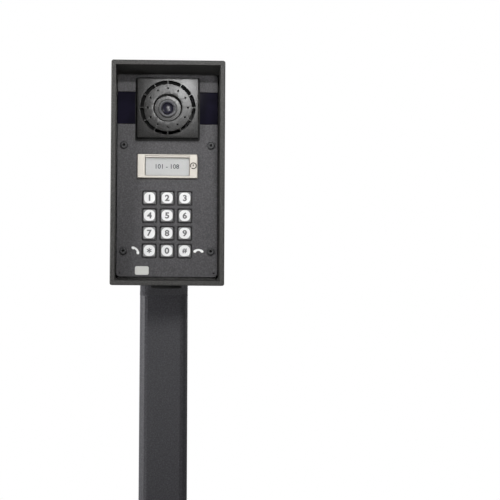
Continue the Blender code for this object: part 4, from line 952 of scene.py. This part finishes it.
def make_block():
    """The camera and speaker block, with its well, slots and small holes rounded at the face, and
    painted shade on the walls of the slots and holes.
    """
    low, high, centre = middle_of("camera_block")
    panel_low, _, _ = middle_of("front_panel")
    front = low.y
    side, _ = size_of("camera_block")
    face_back = front + BLOCK_FACE
    back = panel_low.y - CLEARANCE
    foot_front = back - BLOCK_FOOT_HEIGHT
    body = rectangle(side, side, BLOCK_CORNER)
    foot = rectangle(side, side, BLOCK_CORNER + BLOCK_FOOT)(-BLOCK_FOOT)
    hollow_side = side - 2 * BLOCK_FOOT - 2 * BLOCK_WALL
    hollow = rounded_rectangle(hollow_side, hollow_side, BLOCK_CORNER, 48)
    outer = eased(body, front, BLOCK_EASE, -1)
    outer += [(foot_front, body(0)), (foot_front, foot), (back, foot), (back, hollow),
              (face_back, hollow)]

    well_floor = front + WELL_DEPTH
    well = [(front + depth, WELL_RADIUS + spread) for depth, spread in WELL_MOUTH]
    well += [(well_floor, WELL_RADIUS), (well_floor, SPIGOT_BORE), (high.y, SPIGOT_BORE),
             (high.y, WELL_RADIUS + TUBE_BOSS), (face_back, WELL_RADIUS + TUBE_BOSS)]
    tunnels = [turned(well, centre)]
    dot = round_hole(DOT_HOLE / 2, 24)
    for index in range(SLOT_COUNT):
        tunnels.append(opening(slot_outline(index), front, SLOT_EASE, face_back, centre))
        angle = math.tau * index / SLOT_COUNT
        spot = (centre[0] + DOT_RING * math.sin(angle), centre[1] + DOT_RING * math.cos(angle))
        tunnels.append(opening(dot, front, DOT_EASE, face_back, spot))
    bm = pierced(stood(outer, centre), tunnels)
    # Painted shade: the faces behind the eased mouths, in the ring of slots and holes, turn
    # near-black
    for face in bm.faces:
        place = face.calc_center_median()
        reach = math.hypot(place.x - centre[0], place.z - centre[1])
        inside = SLOT_INNER - SLOT_DARK_IN < reach < SLOT_OUTER + SLOT_DARK_OUT
        if place.y > front + SLOT_EASE + SLOT_DARK and inside:
            face.material_index = 1
    piece = add_piece("eased_block", bm, "block_paint", second="slot_black",
                      flats=True)
    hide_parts("camera_block")

    # A dark rubber seal round the block's foot; its dark band is partly painted shade for the
    # shadow gap round the block
    seal_back, seal_front = panel_low.y - PRINT_LIFT, panel_low.y - SEAL_THICK
    wide_side = side + 2 * SEAL_REACH
    wide = rounded_rectangle(wide_side, wide_side, SEAL_CORNER, 48)
    rings = [(seal_back, foot), (seal_front, foot), (seal_front, wide), (seal_back, wide)]
    add_piece("block_seal_and_shade", loft_bmesh(stood(rings, centre), closed=True), "rubber")


def make_button():
    """The call button's frame, with a rounded rim and a pocket for the label card."""
    low, high, centre = middle_of("call_button")
    _, card_high, card_centre = middle_of("label_card")
    width, height = size_of("call_button")
    card_width, card_height = size_of("label_card")
    body = rectangle(width - 2 * BUTTON_FLANGE, height - 2 * BUTTON_FLANGE, BUTTON_CORNER)
    flange = rounded_rectangle(width, height, BUTTON_CORNER, 48)
    flange_front = high.y - FLANGE_THICK
    outer = eased(body, low.y, BUTTON_EASE, -1)
    outer += [(flange_front, body(0)), (flange_front, flange), (high.y, flange)]
    pocket = rectangle(card_width + 2 * CLEARANCE, card_height + 2 * CLEARANCE, BUTTON_CORNER)
    pit = opening(pocket, low.y, CARD_EASE, card_high.y + CLEARANCE, card_centre)
    bm = pierced(stood(outer, centre), pits=[pit])
    piece = add_piece("eased_button", bm, "satin_metal", "call_button", flats=True)
    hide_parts("call_button")


def make_screw(number):
    """Button-head screw with a hexagon socket, with painted shade in the socket."""
    node = f"panel_screw_{number}"
    low, high, centre = middle_of(node)
    count = 72
    head_radius = (high.x - low.x) / 2
    seat = low.y + SCREW_HEAD
    dome = SCREW_HEAD - SCREW_EDGE

    def hexagon(depth, share=1.0):
        half_width = SOCKET_HALF_WIDTH * share
        outline = round_outline(lambda angle: hexagon_reach(angle, half_width), count)
        return facing(outline, low.y + depth, centre)

    rings = [facing(circle(SOCKET_TIP, count), low.y + SOCKET_POINT, centre),
             hexagon(SOCKET_DEPTH), hexagon(SOCKET_EASE), hexagon(0.0, 1.12)]
    profile = [(seat - SCREW_EDGE - dome * math.cos(angle),
                SCREW_CROWN_RADIUS + (head_radius - SCREW_CROWN_RADIUS) * math.sin(angle))
               for angle in quarter_turn(8)]
    profile += [(seat, head_radius), (seat, SCREW_SHANK_RADIUS), (high.y, SCREW_SHANK_RADIUS)]
    bm = loft_bmesh(rings + turned(profile, centre, count))
    # Painted shade: the socket's deep walls turn near-black
    for face in bm.faces:
        middle = face.calc_center_median()
        reach = math.hypot(middle.x - centre[0], middle.z - centre[1])
        deep = low.y + SOCKET_DARK[0] < middle.y < low.y + SOCKET_DARK[1]
        if deep and reach < SOCKET_DARK_REACH:
            face.material_index = 1
    screw = add_piece(f"socket_screw_{number}", bm, "screw_paint",
                      second="slot_black")
    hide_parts(node)


def make_camera():
    """Barrel, light ring and lens, turned finely."""
    low, high, centre = middle_of("camera_barrel")
    _, ring_high, _ = middle_of("camera_light_ring")
    lens_low, lens_high, _ = middle_of("camera_lens")
    front, seat = low.y, ring_high.y
    flange, ring_out, lens_out = (size_of(node)[0] / 2 for node in
                                  ("camera_barrel", "camera_light_ring", "camera_lens"))
    flange_back = front + BARREL_LENGTH

    profile = [
        (high.y, SPIGOT_RADIUS), (flange_back, SPIGOT_RADIUS), (flange_back, flange),
        (flange_back - BARREL_FLANGE, flange),
    ]
    profile += [(flange_back - depth, BARREL_RADIUS + spread) for depth, spread in BARREL_FOOT]
    profile.append((front + BARREL_ROUND, BARREL_RADIUS))
    profile += [(front + BARREL_ROUND * (1 - math.sin(angle)),
                 BARREL_RADIUS - BARREL_ROUND * (1 - math.cos(angle)))
                for angle in quarter_turn(6, 1)]
    profile += [
        (front, ring_out + RING_GAP), (seat, ring_out + RING_GAP),
        (seat + LENS_GAP, lens_out + LENS_GAP), (lens_high.y + CLEARANCE, lens_out + LENS_GAP),
    ]
    piece = add_piece("lens_barrel", loft_bmesh(turned(profile, centre)), "lens_metal", angle=40)
    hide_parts("camera_barrel")

    slant_out = ring_out - RING_RIM
    profile = [(seat, ring_out), (front + RING_GAP, ring_out), (front, ring_out - RING_GAP)]
    for step in range(8):
        share = step / 7
        profile.append((front + (seat - front - RING_LIP) * share ** 1.6,
                        slant_out - (slant_out - RING_BORE) * share))
    profile.append((seat, RING_BORE))
    bm = loft_bmesh(turned(profile, centre), closed=True)
    piece = add_piece("glow_ring", bm, "light_ring", angle=50)
    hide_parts("camera_light_ring")

    profile = [(lens_high.y, lens_out), (seat - LENS_LIFT, lens_out)]
    profile += [(seat - (seat - lens_low.y) * math.sin(angle), lens_out * math.cos(angle))
                for angle in quarter_turn(14, 1)[:-1]]
    piece = add_piece("lens_dome", loft_bmesh(turned(profile, centre)), "lens_glass", angle=60)
    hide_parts("camera_lens")


def make_key(node):
    """A key whose cushioned round face rises out of a square cap, with painted shade on the cap
    off the face, and the place of its sign.
    """
    low, high, centre = middle_of(node)
    flange_side = high.x - low.x
    flange_front = high.y - FLANGE_THICK
    flange = rounded_rectangle(flange_side, flange_side, KEY_CORNER, KEY_POINTS)
    square = rounded_rectangle(KEY_SIDE, KEY_SIDE, KEY_CORNER, KEY_POINTS)
    round_face = circle(KEY_FACE_RADIUS, KEY_POINTS)
    rings = [(high.y, flange), (flange_front, flange), (flange_front, square),
             (low.y + KEY_RISE, square)]
    for step in range(1, 9):
        share = step / 8
        rise = math.sin(RIGHT_ANGLE * share) ** 1.1
        outline = [a.lerp(b, share ** 1.3) for a, b in zip(square, round_face)]
        rings.append((low.y + KEY_RISE * (1 - rise), outline))
    bm = loft_bmesh(stood(rings, centre))
    # Painted shade: every face but the round face takes the grey key plastic
    for face in bm.faces:
        if face.calc_center_median().y > low.y + KEY_FACE_DEPTH:
            face.material_index = 1
    piece = add_piece(f"{node}_cap", bm, "key_plastic", node, angle=40, second="key_skirt")
    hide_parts(node)
    return low.y - PRINT_LIFT, centre


# Print and trim, and the label's painted shadow


def text_mesh(name, words, height, y, centre, finish, body, bold=0.0, wide=1.0):
    """Characters that stand on a face at y, as tall as height and centred on a place."""
    curve = bpy.data.curves.new(name + "_curve", "FONT")
    curve.body = words
    curve.size = 1.0
    curve.extrude = 0.5
    curve.offset = bold
    curve.resolution_u = 6
    source = link_object(name + "_source", curve)
    bpy.context.view_layer.update()
    evaluated = source.evaluated_get(bpy.context.evaluated_depsgraph_get())
    mesh = bpy.data.meshes.new_from_object(evaluated)
    bpy.data.objects.remove(source, do_unlink=True)
    points = np.array([vertex.co for vertex in mesh.vertices])
    low, high = points.min(axis=0), points.max(axis=0)
    scale = height / (high[1] - low[1])
    for vertex in mesh.vertices:
        across = (vertex.co.x - (low[0] + high[0]) / 2) * scale * wide
        rise = (vertex.co.y - (low[1] + high[1]) / 2) * scale
        depth = y - PRINT_THICK / 2 - vertex.co.z * PRINT_THICK
        vertex.co = (centre[0] + across, depth, centre[1] + rise)
    mesh.materials.clear()
    mesh.materials.append(materials[finish])
    mesh.name = name
    piece = link_object(name, mesh)
    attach(piece, body)


def flat_shape(name, outline, y, centre, finish, body, thick=PRINT_THICK):
    """A thin printed or applied shape that faces the front."""
    add_piece(name, loft_bmesh(stood([(y, outline), (y - thick, outline)], centre)), finish, body)


def star(reach, root, arms):
    """Outline of a star whose arms are nearly as wide at the end as at the root."""
    points = []
    for arm in range(arms):
        middle = RIGHT_ANGLE + math.tau * arm / arms
        for radius, turn in ((root, -0.5), (reach, -0.19), (reach, 0.19)):
            points.append(radius * direction(middle + turn * math.tau / arms))
    return points


def make_keys():
    for node, sign in KEY_SIGNS.items():
        y, centre = make_key(node)
        if sign == "*":
            outline = star(STAR_REACH, STAR_ROOT, 6)
            flat_shape(f"{node}_sign", outline, y, centre, "digit_ink", node)
            continue
        height = DIGIT_HEIGHT if sign.isdigit() else HASH_HEIGHT
        text_mesh(f"{node}_sign", sign, height, y, centre, "digit_ink", node, 0.035, 1.1)


def ring_arc(radius, width, start, end, steps=48):
    """Outline of an arc of a ring, between two angles in degrees."""
    rays = [direction(math.radians(start + (end - start) * step / steps))
            for step in range(steps + 1)]
    outer = [ray * (radius + width / 2) for ray in rays]
    inner = [ray * (radius - width / 2) for ray in rays]
    return outer + inner[::-1]


def handset(length, rise, neck, end_width, steps=40):
    """Outline of a telephone handset laid as an arch, with rounded, thicker ends."""
    def spine(share):
        return Vector((length * (share - 0.5), rise * (1 - (2 * share - 1) ** 2) ** 0.8))

    def half_width(share):
        ends = abs(2 * share - 1)
        swell = min(1.0, max(0.0, (ends - 0.42) / 0.22))
        swell = swell * swell * (3 - 2 * swell)
        half = (neck + (end_width - neck) * swell) / 2
        return half * math.sqrt(max(0.0, 1 - max(0.0, (ends - 0.82) / 0.18) ** 2))

    upper, lower = [], []
    for step in range(steps + 1):
        share = min(max(0.5 - math.cos(math.pi * step / steps) / 2, 0.004), 0.996)
        along = (spine(share + 0.004) - spine(share - 0.004)).normalized()
        across = Vector((-along.y, along.x)) * half_width(share)
        upper.append(spine(share) + across)
        lower.append(spine(share) - across)
    return upper + lower[::-1]


def make_signs():
    """Answer and hang-up signs beside the bottom row of keys."""
    panel_low, _, _ = middle_of("front_panel")
    y = panel_low.y - PRINT_LIFT
    hang_up = handset(*HANDSET)
    heights = [point.y for point in hang_up]
    middle = Vector((0.0, (min(heights) + max(heights)) / 2))
    hang_up = [point - middle for point in hang_up]
    answer = [Matrix.Rotation(ANSWER_TURN, 2) @ point for point in hang_up]
    flat_shape("hang_up_sign", hang_up, y, HANG_UP_PLACE, "white_ink", "post")
    flat_shape("answer_sign", answer, y, ANSWER_PLACE, "white_ink", "post")


def make_badge():
    """The small bare plate low on the panel."""
    panel_low, _, _ = middle_of("front_panel")
    back = panel_low.y - PRINT_LIFT
    outline = rectangle(*BADGE_SIZE, BADGE_CORNER)
    rings = [(back, outline(0)), (back - BADGE_THICK + BADGE_EASE, outline(0)),
             (back - BADGE_THICK, outline(-BADGE_EASE))]
    add_piece("bare_badge", loft_bmesh(stood(rings, BADGE_PLACE)), "badge")


def make_button_marks():
    """Numbers of the label, its metal lip and a painted shadow under the lip and down its sides,
    and the round mark on the button's frame.
    """
    card_low, _, card_centre = middle_of("label_card")
    text_mesh("label_numbers", "101 - 108", LABEL_NUMBER_HEIGHT, card_low.y - PRINT_LIFT,
              (card_centre[0], card_centre[1] - LABEL_LIP / 2), "label_ink", "call_button", 0.015)

    window_low, _, window_centre = middle_of("label_window")
    y = window_low.y - PRINT_LIFT
    half, rise = (length / 2 for length in size_of("label_window"))
    top, side = rise - LABEL_LIP, half - LABEL_SHADOW_WIDTH / 3
    # Painted shadow: a dark band under the lip and thin ones down both sides, on the window
    edge = [(-half, -rise), (-half, top), (half, top), (half, -rise), (side, -rise),
            (side, top - LABEL_SHADOW_WIDTH), (-side, top - LABEL_SHADOW_WIDTH), (-side, -rise)]
    flat_shape("label_edge", [Vector(point) for point in edge], y, window_centre, "label_edge",
               "call_button")
    lip = rounded_rectangle(2 * half, LABEL_LIP, LABEL_LIP_CORNER, 16)
    flat_shape("label_lip", lip, y, (window_centre[0], window_centre[1] + rise - LABEL_LIP / 2),
               "satin_metal", "call_button", LABEL_LIP_THICK)

    low, _, centre = middle_of("call_button")
    y = low.y - PRINT_LIFT
    spot = (centre[0] + MARK_PLACE[0], centre[1] + MARK_PLACE[1])
    ring = ring_arc(MARK_RADIUS, MARK_WIDTH, *MARK_ARC)
    flat_shape("call_mark_ring", ring, y, spot, "mark", "call_button")
    bar = rounded_rectangle(*MARK_BAR, MARK_BAR_CORNER, 16)
    spot = (spot[0] + MARK_BAR_SHIFT[0], spot[1] + MARK_BAR_SHIFT[1])
    flat_shape("call_mark_bar", bar, y, spot, "mark", "call_button")


# Scene


def look_at(thing, target):
    aim = Vector(target) - thing.location
    thing.rotation_euler = aim.to_track_quat("-Z", "Y").to_euler()


def make_camera_view():
    camera_data = bpy.data.cameras.new("camera")
    camera_data.sensor_width = SENSOR
    camera_data.lens = CAMERA_FOCAL_PIXELS * SENSOR / IMAGE
    camera = link_object("camera", camera_data)
    camera.location = CAMERA_PLACE
    look_at(camera, CAMERA_TARGET)
    bpy.context.scene.camera = camera


def add_lamp(name, kind, place, target, power, **settings):
    light = bpy.data.lights.new(name, kind)
    light.energy = power
    for setting, value in settings.items():
        setattr(light, setting, value)
    lamp = link_object(name, light)
    lamp.location = place
    look_at(lamp, target)


def make_lights():
    add_lamp("key_light", "SPOT", SPOT_PLACE, SPOT_TARGET, SPOT_POWER,
             shadow_soft_size=SPOT_RADIUS, spot_size=SPOT_CONE, spot_blend=SPOT_BLEND)
    for name, (place, target, size, power) in AREA_LIGHTS.items():
        add_lamp(name, "AREA", place, target, power, shape="DISK", size=size)


def make_world():
    """White where the camera sees it, and a soft sky, brighter above, for the light it gives."""
    world = bpy.data.worlds.new("world")
    bpy.context.scene.world = world
    world.use_nodes = True
    tree = world.node_tree
    place = add_node(tree, "TexCoord").outputs["Generated"]
    parts = add_node(tree, "SeparateXYZ", {"Vector": place}).outputs
    sky = map_range(tree, parts["Z"], *SKY_RISE)
    side = map_range(tree, parts["X"], *SKY_SIDE)
    paths = add_node(tree, "LightPath").outputs
    seen = math_node(tree, "ADD", paths["Is Camera Ray"], paths["Is Transmission Ray"],
                     use_clamp=True)
    uneven = math_node(tree, "MULTIPLY", sky, side)
    strength = add_node(tree, "Mix", {"Factor": seen, "A": uneven, "B": 1.0}).outputs["Result"]
    feed(tree, tree.nodes["Background"], {"Color": (1, 1, 1, 1), "Strength": strength})


def make_floor():
    """A pale floor that keeps the shadow and fades to white, clear when seen from below."""
    bm = bmesh.new()
    bmesh.ops.create_circle(bm, cap_ends=True, segments=96, radius=FLOOR_RADIUS)
    mesh = bpy.data.meshes.new("floor")
    bm.to_mesh(mesh)
    bm.free()
    floor = link_object("floor", mesh)
    material = shader_material("floor", FLOOR_COLOUR, 0.9, Specular_IOR_Level=0.0)
    tree = material.node_tree
    paths = add_node(tree, "LightPath").outputs
    shades = {"A": (*FLOOR_COLOUR, 1), "B": (*FLOOR_BOUNCE, 1)}
    mix = add_node(tree, "Mix", {"Factor": paths["Is Diffuse Ray"], **shades}, data_type="RGBA")
    feed_shader(material, {"Base Color": mix.outputs["Result"]})
    place = add_node(tree, "TexCoord").outputs["Object"]
    away = add_node(tree, "VectorMath", {0: place}, operation="LENGTH").outputs["Value"]
    fade = map_range(tree, away, *FLOOR_FADE, 0.0, 1.0, interpolation_type="SMOOTHSTEP")
    seen = math_node(tree, "MULTIPLY", fade, paths["Is Camera Ray"])
    paint = tree.nodes["Principled BSDF"].outputs["BSDF"]
    white = add_node(tree, "Emission").outputs["Emission"]
    above = add_node(tree, "MixShader", {"Fac": seen, 1: paint, 2: white}).outputs["Shader"]
    under = add_node(tree, "NewGeometry").outputs["Backfacing"]
    clear = add_node(tree, "BsdfTransparent").outputs["BSDF"]
    both = add_node(tree, "MixShader", {"Fac": under, 1: above, 2: clear}).outputs["Shader"]
    feed(tree, tree.nodes["Material Output"], {"Surface": both})
    mesh.materials.append(material)


CAD_FINISHES = {
    "post_paint": ["base_plate", "foot_weld", "upright_tube", "sloping_tube", "neck_arm",
                   "mounting_plate"],
    "head_paint": ["housing"],
    "rubber": ["back_gasket", "panel_gasket", "keypad_mat"],
    "panel_paint": ["front_panel"],
    "block_paint": ["camera_block"],
    "steel": ["housing_screw_1", "housing_screw_2", "housing_screw_3", "housing_screw_4"],
    "smoked_plastic": ["ir_window_left", "ir_window_right"],
    "card": ["label_card"],
    "clear_plastic": ["label_window"],
    "board": ["camera_board", "ir_board_left", "ir_board_right", "front_board", "main_board"],
    "plug_rubber": ["cable_entry_plug"],
    "black_plastic": ["speaker", "call_switch", "terminal_block", "microphone_left",
                      "microphone_right", "tamper_switch"],
}


def dress_solids():
    for finish, nodes in CAD_FINISHES.items():
        for node in nodes:
            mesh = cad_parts[node].data
            mesh.materials.clear()
            mesh.materials.append(materials[finish])


def main():
    make_camera_view()
    make_world()
    make_floor()
    make_lights()
    dress_solids()
    make_base_plate()
    make_mounting_plate()
    make_housing()
    make_front_panel()
    make_block()
    make_button()
    make_seams()
    make_foot_bead()
    make_earth_stud()
    for number in range(1, 5):
        make_screw(number)
    make_camera()
    make_keys()
    make_signs()
    make_badge()
    make_button_marks()
    bpy.context.scene.view_settings.view_transform = "Standard"


main()
